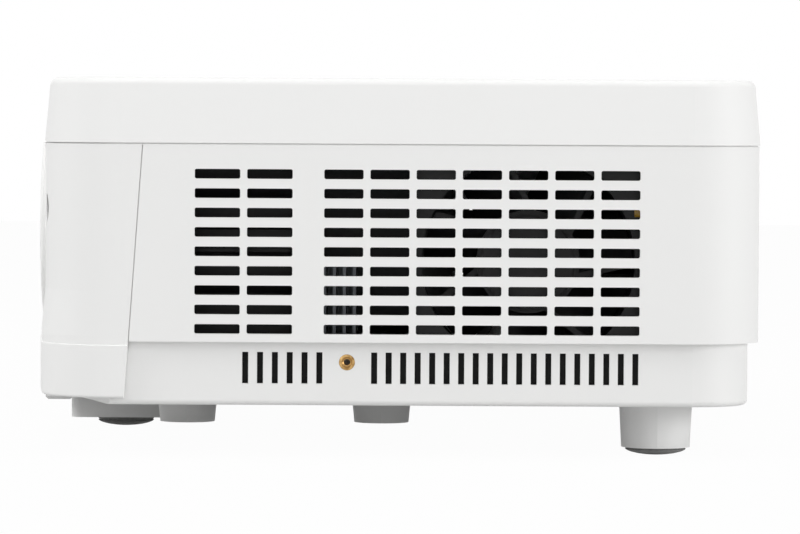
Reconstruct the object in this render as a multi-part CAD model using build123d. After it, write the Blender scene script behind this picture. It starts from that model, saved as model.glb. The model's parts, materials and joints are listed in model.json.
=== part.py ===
from build123d import *
import math
import os

# A compact lamp projector with a disc player built into its far side, in millimetres.
# +X is the side with the two slot grilles, -Y is the lens side, +Z is up.
# The origin is on the table, under the middle of the body.

# ---- body envelope ----
body_width = 312.0          # across the side walls of the cover
body_depth = 232.0          # front of the bezel to the back of the cover
body_height = 118.1         # table to the top of the cover
underside_z = 16.65         # underside of the base
overhang_z = 36.4           # where the wide middle band steps in to the base
seam_z = 97.7               # seam below the top cover
seam_gap = 0.4
nose_z = 38.0               # below this height the bezel's front is foremost
nose_top_z = 52.0           # and above this one it stands back
front_lean = 1.2            # by so much
front_bow = 9.3             # how far the ends of the front face curve back
front_corner_r = 25.0
rear_corner_r = 22.0
wall = 2.4                  # wall of every outer shell
cover_draft = 5.2           # degrees
cover_edge_r = 2.3          # rounding round the top of the cover
band_inset = 0.3            # middle band behind the cover's lower edge
base_inset = 3.3            # base behind the middle band
base_edge_r = 1.7
fit_gap = 0.3               # between parts that lie beside each other
run_gap = 0.05              # radial clearance of a shaft in its hole
slide_gap = 0.4             # round a part that slides or presses in

# ---- front bezel ----
parting_top_y = -76.3       # parting line on the side, at the seam
parting_low_y = -81.8       # and at the lower edge of the bezel
bezel_low_z = 18.8
crease_z = 35.3             # below this the bezel is a little prouder
crease_step = 0.3
parting_gap = 0.3

# ---- slot grilles ----
slot_rows = 9
slot_row_pitch = 6.0
slot_height = 3.0
slot_corner_r = 0.6
slot_low_z = 38.9           # lower edge of the lowest row
rear_slot_width = 12.15
rear_slot_pitch = 14.27
rear_slot_columns = 7
rear_slot_y = -20.35        # first edge of the rear group
front_slot_width = 14.1
front_slot_pitch = 16.2
front_slot_columns = 2
front_slot_y = -60.4        # first edge of the front group
far_slot_rows = 6           # the far side has fewer rows, below the disc drawer
rib_width = 1.9             # upright slots in the base
rib_low_z = 23.4
rib_high_z = 33.2
short_rib_pitch = 4.6
short_rib_count = 6
short_rib_y = -45.6
long_rib_pitch = 4.5
long_rib_count = 19
long_rib_y = -5.6
nose_vent_columns = 5       # vent in the front face, on the drawer's side
nose_vent_rows = 7
nose_vent_x = -76.0         # middle of that vent

# ---- threaded inserts ----
side_insert_y = -13.1
side_insert_z = 30.1
side_insert_r = 2.5
side_insert_bore_r = 1.25   # M3
side_insert_length = 6.0
mount_spacing_x = 160.0     # ceiling mount bosses
mount_spacing_y = 63.2
mount_mid_y = -34.2
mount_boss_low_z = 6.9
mount_boss_top_r = 10.1
mount_boss_low_r = 8.87
mount_insert_r = 3.1
mount_insert_bore_r = 1.65  # M4
mount_insert_length = 8.0

# ---- feet ----
foot_screw_r = 4.0
foot_pad_height = 5.0
foot_pad_round = 1.3
rear_foot_to_side = 32.0    # middle of a rear foot to the side of the body
rear_foot_to_back = 31.7    # and to its back
rear_skirt_top_r = 11.7
rear_skirt_low_r = 10.85
rear_skirt_low_z = 2.5
rear_pad_r = 9.6
front_foot_to_front = 25.4  # middle of the front foot to the front of the body
front_pad_r = 9.5
front_block_half = 22.0
front_block_to_front = 8.0  # block round the front foot
front_block_length = 36.0
front_block_low_z = 4.0
front_block_corner_r = 3.5

# ---- lens and optics ----
lens_x = 78.0
lens_z = 70.0
lens_mouth_r = 29.0         # opening in the front face
lens_tube_r = 22.0
lens_bore_r = 19.5
lens_setback = 9.0          # focus cell behind the front of the body
focus_ring_r = 29.0
cell_length = 10.0          # focus cell in front of its ring
focus_ring_width = 15.0
zoom_ring_r = 28.0
ring_spacing = 2.0          # between the two rings
zoom_ring_width = 13.0
cell_r = 24.0
glass_r = 20.6
engine_front_y = -36.0
engine_length = 56.0
engine_width = 66.0
engine_low_z = 42.0
engine_high_z = 96.0
engine_wall = 3.0
beam_x = 81.0               # the lamp shines along -Y here
wheel_x = 62.0              # axis of the colour wheel
wheel_y = 32.0
wheel_r = 21.0
lamp_y = 50.0               # front of the lamp box
lamp_length = 54.0
lamp_half = 28.0
reflector_r = 24.0
sink_front_y = -29.0
sink_back_y = -10.5
sink_low_z = 26.0
sink_high_z = 60.6
sink_to_side = 12.5         # tips of the fins to the side of the body
fin_pitch = 3.1
fin_thickness = 1.0

# ---- fans ----
exhaust_size = 70.0
exhaust_depth = 25.0
exhaust_y = 43.0
intake_size = 50.0
intake_depth = 15.0
intake_y = 4.0
fan_low_z = 26.5            # underside of the two fan frames
fan_corner_r = 3.0
blade_thickness = 1.4
blower_size = 50.0
blower_height = 15.0
blower_x = 12.0
blower_y = -44.0

# ---- boards ----
board_thickness = 1.6
main_board_z = 46.0
main_board_x = (-124.0, 40.0)
main_board_front = 30.0
main_board_to_back = 9.0
power_board_z = 25.0
power_board_x = (-126.0, -24.0)
power_board_y = (-100.0, -30.0)
post_r = 3.0
panel_x = (-98.0, 44.0)     # connector plate in the rear wall
panel_z = (42.0, 78.0)
panel_recess = 6.0
panel_thickness = 1.4
inlet_x = -116.0            # mains inlet
inlet_z = 60.0
inlet_width = 27.0
inlet_height = 19.6
inlet_depth = 20.0
inlet_pocket = 16.0
inlet_rim = 1.8
inlet_pin_length = 10.0
speaker_y = 64.0
speaker_z = 56.0
speaker_r = 18.0
speaker_depth = 17.0

# ---- keypad ----
keypad_x = -20.0            # middle of the arrow keys
keypad_y = 40.0
keypad_recess = 0.8
key_travel = 0.8
key_gap = 0.25
key_flange = 0.7
key_skirt = 1.2             # thickness of the flange below the cover
arrow_reach = 12.0          # arrow keys from the enter key
arrow_r = 4.2
enter_r = 5.0
side_key_reach = 30.0       # menu and source keys from the enter key
power_key_reach = 48.0
power_key_r = 6.0
keypad_board_depth = 10.1   # below the top of the cover
lamp_window_r = 1.3         # three status lights
light_pitch = 9.0

# ---- disc drawer ----
drive_y = 4.0               # middle of the drawer
drive_case_half = 64.0
drive_low_z = 80.2
drive_high_z = 93.0
drive_sheet = 0.6
drive_inner_x = -25.0       # inner end of the case
tray_half = 61.5
tray_length = 124.0
tray_low_z = 81.4
tray_top_z = 90.5
disc_r = 60.4               # recess for a 120 mm disc
small_disc_r = 40.5
recess_depth = 1.7
small_recess_depth = 0.6
tray_rim = 2.2              # tray in front of the disc recess
rail_thickness = 1.0
rail_height = 6.0
rail_length = 112.0
bezel_plate = 2.6           # thickness of the drawer front
eject_y = 46.0
eject_r = 2.2
eject_travel = 0.6
hub_r = 7.4
spindle_motor_r = 12.0
sled_rod_r = 1.25
sled_rod_spread = 17.0
sled_screw_r = 1.3
sled_screw_spread = 23.5
sled_length = 10.0
sled_height = 4.6
sled_start = 15.5           # sled's inner edge from the hub axis, at rest
sled_travel = 30.0
window_half = 27.0          # window in the tray over the sled

# ---- worked out from the above ----
front_y = -body_depth / 2
half_width = body_width / 2
band_half = half_width - band_inset
base_half = band_half - base_inset
floor_z = underside_z + wall
cover_z = seam_z + seam_gap / 2
band_top_z = seam_z - seam_gap / 2
inner_base_half = base_half - wall
inner_band_half = band_half - wall
cover_nose = front_y + front_lean
rear_foot_x = half_width - rear_foot_to_side
rear_foot_y = body_depth / 2 - rear_foot_to_back
front_foot_y = front_y + front_foot_to_front
front_block_front = front_y + front_block_to_front
front_block_back = front_block_front + front_block_length
lens_front_y = front_y + lens_setback
focus_ring_y = lens_front_y + cell_length       # front edges of the two rings
zoom_ring_y = focus_ring_y + focus_ring_width + ring_spacing
main_board_y = (main_board_front, body_depth / 2 - main_board_to_back)
keypad_board_z = body_height - keypad_board_depth


def block(x, y, z):
    """A box between the pairs of limits x, y and z."""
    middle = ((x[0] + x[1]) / 2, (y[0] + y[1]) / 2, (z[0] + z[1]) / 2)
    return Pos(*middle) * Box(x[1] - x[0], y[1] - y[0], z[1] - z[0])


def upright(x, y, z, r):
    """A vertical cylinder between the heights z."""
    return Pos(x, y, (z[0] + z[1]) / 2) * Cylinder(r, z[1] - z[0])


def along_y(x, z, y, r):
    """A cylinder whose axis runs along Y."""
    return Pos(x, (y[0] + y[1]) / 2, z) * Rot(90, 0, 0) * Cylinder(r, y[1] - y[0])


def along_x(y, z, x, r):
    """A cylinder whose axis runs along X."""
    return Pos((x[0] + x[1]) / 2, y, z) * Rot(0, 90, 0) * Cylinder(r, x[1] - x[0])


def span(middle, size):
    """The two limits of a size about its middle."""
    return (middle - size / 2, middle + size / 2)


def save(shape, node):
    """Write one node's STEP file."""
    export_step(shape, "parts/" + node + ".step")


def outline(z, inset, nose):
    """Plan of the body at height z: bowed front at nose, sides and back drawn in by inset."""
    half = half_width - inset
    back = body_depth / 2 - inset
    ends = nose + front_bow
    bow = ThreePointArc((-half, ends), (0, nose), (half, ends))
    rest = Polyline((half, ends), (half, back), (-half, back), (-half, ends))
    face = make_face([bow, *rest.edges()])
    front_pair = face.vertices().sort_by(Axis.Y)[:2]
    face = fillet(front_pair, front_corner_r - inset)
    back_pair = face.vertices().sort_by(Axis.Y)[-2:]
    face = fillet(back_pair, rear_corner_r - inset)
    return Pos(0, 0, z) * face


def prism(z, inset, nose):
    """The body's plan, pulled up between the heights z."""
    return extrude(outline(z[0], inset, nose), z[1] - z[0])


def band_body(low_z, inset, setback):
    """Body from low_z to the seam whose front leans back between two heights."""
    low = prism((low_z, nose_z), inset, front_y + setback)
    foot = outline(nose_z, inset, front_y + setback)
    head = outline(nose_top_z, inset, cover_nose + setback)
    high = prism((nose_top_z, band_top_z), inset, cover_nose + setback)
    return low + loft([foot, head], ruled=True) + high


def parting_block(offset):
    """Everything in front of the leaning parting line, moved back by offset."""
    reach = body_width
    slope = (parting_top_y - parting_low_y) / (seam_z - bezel_low_z)
    low_y = parting_low_y + offset - slope * bezel_low_z
    high_y = parting_top_y + offset + slope * (body_height - seam_z)
    far_y = 2 * front_y
    side = Polyline((low_y, 0), (high_y, body_height), (far_y, body_height), (far_y, 0), close=True)
    return extrude(Plane.YZ * make_face(side), reach, both=True)


def slots(rows, columns, size, pitch, corner):
    """A grid of rounded slots in the X-Y plane, its first slot's corner at the origin."""
    width, height = size
    grid = Sketch()
    for row in range(rows):
        for column in range(columns):
            place = Pos(column * pitch[0] + width / 2, row * pitch[1] + height / 2)
            grid += place * RectangleRounded(width, height, corner)
    return grid


def side_cut(grid, y, z, x):
    """A grid of slots stood up in the side walls, cut between the widths x."""
    return Pos(x[0], 0, 0) * extrude(Plane.YZ * (Pos(y, z) * grid), x[1] - x[0])


near_wall = (inner_band_half - 1, half_width + 1)
far_wall = (-half_width - 1, -inner_band_half + 1)
back_wall = (body_depth / 2 - band_inset - wall - 1, body_depth / 2 + 1)
slot_pitch_rear = (rear_slot_pitch, slot_row_pitch)
slot_pitch_front = (front_slot_pitch, slot_row_pitch)
slot_size_rear = (rear_slot_width, slot_height)
slot_size_front = (front_slot_width, slot_height)

# ---- top cover ----
cover_top_under = body_height - wall
window_width = 48.0         # opening over the two rings
window_x = span(lens_x, window_width)
window_margin = 2.0
window_y = (focus_ring_y - window_margin, zoom_ring_y + zoom_ring_width + window_margin)
window_wall = 1.5
window_clear = 1.0          # from the window's walls to the rings
pocket_margin = 5.0         # from the outer keys to the edge of their pocket
pocket_left = keypad_x - side_key_reach - 2 * pocket_margin
pocket_right = keypad_x + power_key_reach + power_key_r + pocket_margin
pocket_x = (pocket_left, pocket_right)
pocket_depth = 42.0
pocket_y = span(keypad_y, pocket_depth)
pocket_corner_r = 6.0
side_key_r = arrow_r
light_row = 13.0            # status lights behind the middle of the keys
light_y = keypad_y + light_row
light_xs = [keypad_x + power_key_reach + light_pitch * step for step in (-1, 0, 1)]
key_places = {
    "enter_key": (keypad_x, keypad_y, enter_r),
    "left_key": (keypad_x - arrow_reach, keypad_y, arrow_r),
    "right_key": (keypad_x + arrow_reach, keypad_y, arrow_r),
    "up_key": (keypad_x, keypad_y + arrow_reach, arrow_r),
    "down_key": (keypad_x, keypad_y - arrow_reach, arrow_r),
    "menu_key": (keypad_x - side_key_reach, keypad_y, side_key_r),
    "source_key": (keypad_x + side_key_reach, keypad_y, side_key_r),
    "power_key": (keypad_x + power_key_reach, keypad_y, power_key_r),
}
pocket_z = body_height - keypad_recess
keypad_board_inset = 5.0
board_post_xs = (pocket_x[0] + keypad_board_inset, pocket_x[1] - keypad_board_inset)
board_post_inset = 3.5
board_post_ys = (pocket_y[0] + board_post_inset, pocket_y[1] - board_post_inset)


def make_top_cover():
    height = body_height - cover_z
    shell = extrude(outline(cover_z, 0, cover_nose), height, taper=cover_draft)
    shell = fillet(shell.faces().sort_by(Axis.Z)[-1].edges(), cover_edge_r)
    shell -= extrude(outline(cover_z, wall, cover_nose + wall), height - wall, taper=cover_draft)
    outer_x = (window_x[0] - window_wall, window_x[1] + window_wall)
    outer_y = (window_y[0] - window_wall, window_y[1] + window_wall)
    skirt = block(outer_x, outer_y, (lens_z, cover_top_under + 0.5))
    ring_space = along_y(lens_x, lens_z, (front_y, engine_front_y), focus_ring_r + window_clear)
    side_foot = lens_z + focus_ring_r / 2
    skirt -= block(outer_x, outer_y, (lens_z, side_foot))
    shell += skirt - ring_space
    shell -= block(window_x, window_y, (lens_z, body_height + 1))
    pocket = RectangleRounded(pocket_x[1] - pocket_x[0], pocket_y[1] - pocket_y[0], pocket_corner_r)
    middle = ((pocket_x[0] + pocket_x[1]) / 2, (pocket_y[0] + pocket_y[1]) / 2)
    shell -= Pos(middle[0], middle[1], pocket_z) * extrude(pocket, keypad_recess + 1)
    for x, y, r in key_places.values():
        shell -= upright(x, y, (cover_top_under - 1, body_height + 1), r + key_gap)
    for x in light_xs:
        shell -= upright(x, light_y, (cover_top_under - 1, body_height), lamp_window_r)
    for x in board_post_xs:
        for y in board_post_ys:
            shell += upright(x, y, (keypad_board_z, cover_top_under + 0.5), post_r)
    return shell


# ---- main housing: middle band with its grilles and the back wall ----
screw_to_side = 16.0
screw_to_back = 24.0
screw_to_front = 46.0
screw_xs = (half_width - screw_to_side, screw_to_side - half_width)
screw_ys = (body_depth / 2 - screw_to_back, front_y + screw_to_front)
screw_places = [(x, y) for x in screw_xs for y in screw_ys]
screw_post_r = 4.5
screw_r = 1.5
screw_head_r = 2.9
screw_head_z = underside_z + 0.6
screw_head_height = 2.0
tab_height = 7.0
drawer_y = span(drive_y, 2 * (drive_case_half + slide_gap))
drawer_z = (drive_low_z - slide_gap, drive_high_z + slide_gap)
ledge_width = 5.0           # ledge that carries the drawer's case
ledge_x = -inner_band_half + ledge_width
ledge_z = (drive_low_z - 3, drive_low_z)
ledge_end = 4.0             # from the case's corners to the ends of the ledge
lap = 4.0                   # how far the housing reaches in under the bezel
lap_wall = 1.2
inlet_x_span = span(inlet_x, inlet_width + 2 * fit_gap)
inlet_z_span = span(inlet_z, inlet_height + 2 * fit_gap)
back_slot_x = 62.0          # first edge of the slots in the back wall
back_slot_columns = 3


def make_main_housing():
    shell = band_body(overhang_z, band_inset, crease_step)
    shell -= band_body(overhang_z, band_inset + wall, crease_step + wall)
    ledge = prism((overhang_z, overhang_z + wall), band_inset + 1, front_y + 1)
    ledge_inset = base_inset + wall
    ledge -= prism((overhang_z, overhang_z + wall), band_inset + ledge_inset, front_y + ledge_inset)
    shell += ledge
    shell -= parting_block(0)
    tongue = band_body(overhang_z, band_inset + wall, crease_step + wall)
    tongue -= band_body(overhang_z, band_inset + wall + lap_wall, crease_step + wall + lap_wall)
    tongue -= parting_block(-lap)
    shell += tongue & parting_block(lap)
    for x, y in screw_places:
        shell += upright(x, y, (overhang_z, overhang_z + tab_height), screw_post_r)
        reach = sorted((x, math.copysign(inner_band_half + 1, x)))
        shell += block(reach, span(y, wall), (overhang_z, overhang_z + tab_height))
        shell -= upright(x, y, (overhang_z - 1, overhang_z + tab_height - 1), screw_r)
    rear_grid = slots(slot_rows, rear_slot_columns, slot_size_rear, slot_pitch_rear, slot_corner_r)
    front_grid = slots(slot_rows, front_slot_columns, slot_size_front, slot_pitch_front, slot_corner_r)
    shell -= side_cut(rear_grid, rear_slot_y, slot_low_z, near_wall)
    shell -= side_cut(front_grid, front_slot_y, slot_low_z, near_wall)
    far_grid = slots(far_slot_rows, rear_slot_columns, slot_size_rear, slot_pitch_rear, slot_corner_r)
    shell -= side_cut(far_grid, rear_slot_y, slot_low_z, far_wall)
    back_grid = slots(slot_rows, back_slot_columns, slot_size_rear, slot_pitch_rear, slot_corner_r)
    back_tool = Plane.XZ * (Pos(back_slot_x, slot_low_z) * back_grid)
    shell -= Pos(0, back_wall[0], 0) * extrude(back_tool, back_wall[0] - back_wall[1])
    shell += block((far_wall[0] + 2, ledge_x), span(drive_y, 2 * (drive_case_half - ledge_end)), ledge_z)
    shell -= block(far_wall, drawer_y, drawer_z)
    shell -= block(panel_x, back_wall, panel_z)
    shell -= block(inlet_x_span, back_wall, inlet_z_span)
    return shell


# ---- base pan ----
rear_foot_places = [(rear_foot_x, rear_foot_y), (-rear_foot_x, rear_foot_y)]
mount_places = [(sx * mount_spacing_x / 2, mount_mid_y + sy * mount_spacing_y / 2)
                for sx in (-1, 1) for sy in (-1, 1)]
foot_top_z = foot_pad_height + slide_gap
screw_boss_r = 8.0
screw_boss_top = floor_z + 7.0
insert_boss_r = 4.5
fan_rib = 3.0
exhaust_x = (inner_base_half - 0.5 - exhaust_depth, inner_base_half - 0.5)
intake_x = (-inner_base_half + 0.5, -inner_base_half + 0.5 + intake_depth)
speaker_x = (-inner_base_half + 0.5, -inner_base_half + 0.5 + speaker_depth)
board_edge = 5.0            # from a board's corners to its posts
boss_backing = 1.6          # wall behind the side insert
speaker_rest = (0.5, 4.0)   # rib under the speaker, from the housing's wall
speaker_rest_length = 30.0
slot_undercut = 0.2


def corners(x, y, inset):
    """The four points that lie inset from the corners of the rectangle x, y."""
    return [(px, py) for px in (x[0] + inset, x[1] - inset) for py in (y[0] + inset, y[1] - inset)]


def upright_slots(count, pitch):
    """A row of upright slots, the first one's corner at the origin."""
    height = rib_high_z - rib_low_z
    row = Sketch()
    for step in range(count):
        row += Pos(step * pitch + rib_width / 2, height / 2) * Rectangle(rib_width, height)
    return row


taper_start = 68.0          # half width of the front between its two tapered ends
taper_angle = 17.2          # degrees that the underside is cut back there
chin_half = 34.0            # lip in front of the front foot
chin_low_z = 10.8
chin_depth = 9.4
chin_bevel = 0.9


def tapered_ends(z, shift):
    """What lies in front of the underside's two tapered ends, moved back by shift."""
    start = (taper_start, front_y + base_inset + shift)
    rise = math.tan(math.radians(taper_angle)) * (half_width - taper_start)
    end = (half_width, start[1] + rise)
    side = make_face(Polyline(start, end, (half_width, 2 * front_y), (taper_start, 2 * front_y), close=True))
    side = Pos(0, 0, z[0]) * extrude(side, z[1] - z[0])
    return side + mirror(side, Plane.YZ)


def make_base_pan():
    depth = band_inset + base_inset
    pan = prism((underside_z, overhang_z), depth, front_y + base_inset)
    pan = fillet(pan.faces().sort_by(Axis.Z)[0].edges(), base_edge_r)
    pan -= prism((floor_z, overhang_z), depth + wall, front_y + base_inset + wall)
    pan -= tapered_ends((0, bezel_low_z), 0)
    ramp = prism((bezel_low_z, bezel_low_z + wall), depth + wall / 2, front_y + base_inset + wall / 2)
    pan += ramp & tapered_ends((bezel_low_z, bezel_low_z + wall), wall)
    chin_y = (front_y + fit_gap, front_y + chin_depth)
    chin = block(span(0, 2 * chin_half), chin_y, (chin_low_z, bezel_low_z - fit_gap))
    pan += chamfer(chin.edges().group_by(Axis.Z)[0], chin_bevel)
    skirt_height = floor_z - rear_skirt_low_z
    for x, y in rear_foot_places:
        skirt = Cone(rear_skirt_low_r, rear_skirt_top_r, skirt_height)
        pan += Pos(x, y, rear_skirt_low_z + skirt_height / 2) * skirt
        pan += upright(x, y, (floor_z, screw_boss_top), screw_boss_r)
        pan -= upright(x, y, (0, foot_top_z), rear_pad_r + fit_gap)
        pan -= upright(x, y, (0, screw_boss_top), foot_screw_r + run_gap)
    block_size = (2 * front_block_half, front_block_back - front_block_front)
    plan = RectangleRounded(block_size[0], block_size[1], front_block_corner_r)
    block_middle = (front_block_front + front_block_back) / 2
    pan += Pos(0, block_middle, front_block_low_z) * extrude(plan, floor_z - front_block_low_z)
    pan += upright(0, front_foot_y, (floor_z, screw_boss_top), screw_boss_r)
    pan -= upright(0, front_foot_y, (0, foot_top_z), front_pad_r + fit_gap)
    pan -= upright(0, front_foot_y, (0, screw_boss_top), foot_screw_r + run_gap)
    boss_height = floor_z - mount_boss_low_z
    for x, y in mount_places:
        boss = Cone(mount_boss_low_r, mount_boss_top_r, boss_height)
        pan += Pos(x, y, mount_boss_low_z + boss_height / 2) * boss
        pan -= upright(x, y, (0, mount_boss_low_z + mount_insert_length), mount_insert_r)
    for x, y in screw_places:
        pan += upright(x, y, (floor_z, overhang_z), screw_post_r)
        pan -= upright(x, y, (0, screw_head_z + screw_head_height), screw_head_r + fit_gap)
        pan -= upright(x, y, (0, overhang_z), screw_r + fit_gap)
    boss_x = (base_half - side_insert_length - boss_backing, base_half - 0.5)
    pan += along_x(side_insert_y, side_insert_z, boss_x, insert_boss_r)
    insert_x = (base_half - side_insert_length, base_half + 1)
    pan -= along_x(side_insert_y, side_insert_z, insert_x, side_insert_r)
    for x, middle, size in ((exhaust_x, exhaust_y, exhaust_size), (intake_x, intake_y, intake_size)):
        for y in span(middle, size * 2 / 3):
            pan += block((x[0] + 1, x[1] - 1), span(y, fan_rib), (floor_z, fan_low_z))
    for x, y in corners(main_board_x, main_board_y, board_edge):
        pan += upright(x, y, (floor_z, main_board_z), post_r)
    for x, y in corners(power_board_x, power_board_y, board_edge):
        pan += upright(x, y, (floor_z, power_board_z), post_r)
    for x, y in drive_post_places:
        pan += upright(x, y, (floor_z, drive_low_z), post_r)
    rest_x = (speaker_x[0] + speaker_rest[0], speaker_x[0] + speaker_rest[1])
    rest_z = (floor_z, speaker_z - speaker_r - speaker_rim)
    pan += block(rest_x, span(speaker_y, speaker_rest_length), rest_z)
    near_base = (inner_base_half - slot_undercut, base_half + 1)
    pan -= side_cut(upright_slots(short_rib_count, short_rib_pitch), short_rib_y, rib_low_z, near_base)
    pan -= side_cut(upright_slots(long_rib_count, long_rib_pitch), long_rib_y, rib_low_z, near_base)
    return pan


# ---- front bezel ----
ir_x = 133.4                # remote control window, on the rounded corner
ir_z = 77.1
ir_r = 4.75
ir_recess = 0.5
ir_thickness = 1.6
corner_middle_x = band_half - front_corner_r
ir_turn = math.degrees(math.asin((ir_x - corner_middle_x) / front_corner_r))
surround_rim = 1.6          # ring round the lens mouth
vent_cut = 20.0             # reach of the cut for the vent, each way
lens_boss_r = 36.0          # flat boss round the lens mouth, proud where the front curves away
lens_boss_setback = 4.6     # its face behind the foremost line of the front
lens_boss_depth = 3.4
lens_boss_reach = 8.0       # past the lens axis to the middle, where the front hides the rest
lens_boss_edge_r = 0.8


def ir_plug(r, setback, length):
    """A cylinder square to the rounded corner, starting setback behind its surface."""
    middle_y = cover_nose + crease_step
    middle_y += front_bow * (corner_middle_x / band_half) ** 2 + front_corner_r
    start = front_corner_r - setback
    tool = Pos(0, length / 2 - start, 0) * Rot(90, 0, 0) * Cylinder(r, length)
    return Pos(corner_middle_x, middle_y, ir_z) * Rot(0, 0, ir_turn) * tool


def lens_boss():
    """The side of a flat disc round the lens mouth that stands out of the front, cut off at the seam."""
    boss_y = (front_y + lens_boss_setback, front_y + lens_boss_setback + lens_boss_depth)
    boss = along_y(lens_x, lens_z, boss_y, lens_boss_r)
    boss = fillet(boss.edges().sort_by(Axis.Y)[0], lens_boss_edge_r)
    return boss & block((lens_x - lens_boss_reach, lens_x + lens_boss_r), boss_y, (crease_z, band_top_z))


def make_front_bezel():
    shell = band_body(crease_z, band_inset, crease_step)
    low = prism((bezel_low_z, crease_z), band_inset - crease_step, front_y)
    low = fillet(low.faces().sort_by(Axis.Z)[0].edges(), base_edge_r / 2)
    low = chamfer(low.faces().sort_by(Axis.Z)[-1].edges(), 0.9 * crease_step)
    shell += low
    shell -= band_body(crease_z - 1, band_inset + wall, crease_step + wall)
    shell += lens_boss()
    snug = base_inset - fit_gap
    shell -= prism((0, overhang_z + wall), band_inset + snug, front_y + snug)
    shell &= parting_block(-parting_gap)
    shell -= along_y(lens_x, lens_z, (2 * front_y, lens_front_y), lens_mouth_r + surround_rim)
    nose_grid = slots(nose_vent_rows, nose_vent_columns, slot_size_rear, slot_pitch_rear, slot_corner_r)
    grid_x = nose_vent_x - nose_vent_columns * rear_slot_pitch / 2
    tool = Plane.XZ * (Pos(grid_x, slot_low_z + slot_row_pitch) * nose_grid)
    shell -= Pos(0, front_y + vent_cut, 0) * extrude(tool, 2 * vent_cut)
    shell -= ir_plug(ir_r + run_gap, -3, 3 + ir_recess + ir_thickness + 2)
    return shell


# ---- back: connector plate, sockets, mains inlet ----
panel_wall = 1.4
panel_face_y = body_depth / 2 - band_inset - panel_recess
housing_back_y = body_depth / 2 - band_inset - wall
plate_back_y = panel_face_y - panel_thickness
socket_reach = 4.5          # how far a socket stands out of the plate
socket_depth = 12.0         # and how far its body reaches in over the board
low_row_z = 54.0
high_row_z = 67.0
board_top_z = main_board_z + board_thickness
# shells: middle, width and height of each mouth on the low row
shell_sockets = [(-88.0, 11.0, 10.0), (-68.0, 15.0, 5.6), (-42.0, 17.0, 8.4), (-8.0, 17.0, 8.4)]
wide_flange = (31.0, 12.4)  # flange with two nuts round the two wide sockets
flange_thickness = 0.8
flange_nut_reach = 12.5
flange_nut_r = 2.6
tongue_share = 0.6          # of a socket's width
jack_xs = (12.5, 24.5, 36.5)
jack_r = 4.1
jack_body = 11.0
jack_bore_r = 1.7


def make_rear_panel():
    x = (panel_x[0] - panel_wall, panel_x[1] + panel_wall)
    z = (panel_z[0] - panel_wall, panel_z[1] + panel_wall)
    plate = block(x, (plate_back_y, housing_back_y), z)
    plate -= block(panel_x, (panel_face_y, housing_back_y), panel_z)
    through = (plate_back_y - 1, panel_face_y + 1)
    for middle, width, height in shell_sockets:
        hole_x = span(middle, width + 2 * fit_gap)
        plate -= block(hole_x, through, span(low_row_z, height + 2 * fit_gap))
    for x in jack_xs:
        for z in (low_row_z, high_row_z):
            plate -= along_y(x, z, through, jack_r + fit_gap)
    return plate


def make_connector_shells():
    parts = []
    for middle, width, height in shell_sockets:
        outside = (plate_back_y, panel_face_y + socket_reach)
        shell = block(span(middle, width), outside, span(low_row_z, height))
        mouth = (panel_face_y, panel_face_y + socket_reach)
        shell -= block(span(middle, width - 1), mouth, span(low_row_z, height - 1))
        shell += block(span(middle, width * tongue_share), mouth, span(low_row_z, height / 4))
        body_z = (board_top_z, low_row_z + height / 2)
        shell += block(span(middle, width), (plate_back_y - socket_depth, plate_back_y - fit_gap), body_z)
        joint = (plate_back_y - socket_depth, plate_back_y)
        shell += block(span(middle, width - 1), joint, span(low_row_z, height - 1))
        parts.append(shell)
        if width > wide_flange[0] / 2:
            face = (panel_face_y, panel_face_y + flange_thickness)
            flange = block(span(middle, wide_flange[0]), face, span(low_row_z, wide_flange[1]))
            flange -= block(span(middle, width), face, span(low_row_z, height))
            for x in (middle - flange_nut_reach, middle + flange_nut_reach):
                nut = RegularPolygon(flange_nut_r, 6) - Circle(flange_nut_r / 2)
                nut_place = Pos(x, face[1] + socket_reach / 2, low_row_z) * Rot(90, 0, 0)
                flange += nut_place * extrude(nut, socket_reach / 2)
            parts.append(flange)
    return Compound(children=parts)


def make_jacks():
    parts = []
    stack_y = (plate_back_y - socket_depth, plate_back_y - fit_gap)
    for x in jack_xs:
        stack = block(span(x, jack_body), stack_y, (board_top_z, high_row_z + jack_body / 2))
        for z in (low_row_z, high_row_z):
            reach = (stack_y[0] + 1, panel_face_y + socket_reach)
            stack += along_y(x, z, reach, jack_r)
            stack -= along_y(x, z, (stack_y[1], reach[1] + 1), jack_bore_r)
        parts.append(stack)
    return Compound(children=parts)


pin_places = ((-7.0, -2.0), (7.0, -2.0), (0.0, 2.0))    # from the middle of the inlet
pin_width = 2.0
pin_height = 4.0


def make_mains_inlet():
    mouth_y = body_depth / 2 - band_inset
    x = span(inlet_x, inlet_width)
    z = span(inlet_z, inlet_height)
    shape = block(x, (mouth_y - inlet_depth, mouth_y), z)
    pocket_floor = mouth_y - inlet_pocket
    pocket_w = inlet_width - 2 * inlet_rim
    pocket_h = inlet_height - 2 * inlet_rim
    shape -= block(span(inlet_x, pocket_w), (pocket_floor, mouth_y), span(inlet_z, pocket_h))
    for dx, dz in pin_places:
        pin_y = (pocket_floor - 1, pocket_floor + inlet_pin_length)
        shape += block(span(inlet_x + dx, pin_width), pin_y, span(inlet_z + dz, pin_height))
    return shape


# ---- lens ----
tube_rear_y = engine_front_y
lens_flange_r = 31.0
lens_flange = 4.0
glass_round = 60.0          # radius of the front glass
glass_edge_y = focus_ring_y - 2.5
cell_lip = 1.0
cell_lip_r = 18.6
rear_glass_thickness = 8.0
rear_glass_crown = 3.5      # from its middle to each of its faces
surround_depth = 12.0       # of the funnel round the lens mouth


def ring_y(r_out, r_in, y):
    """A ring about the lens axis."""
    return along_y(lens_x, lens_z, y, r_out) - along_y(lens_x, lens_z, (y[0] - 1, y[1] + 1), r_in)


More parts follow.
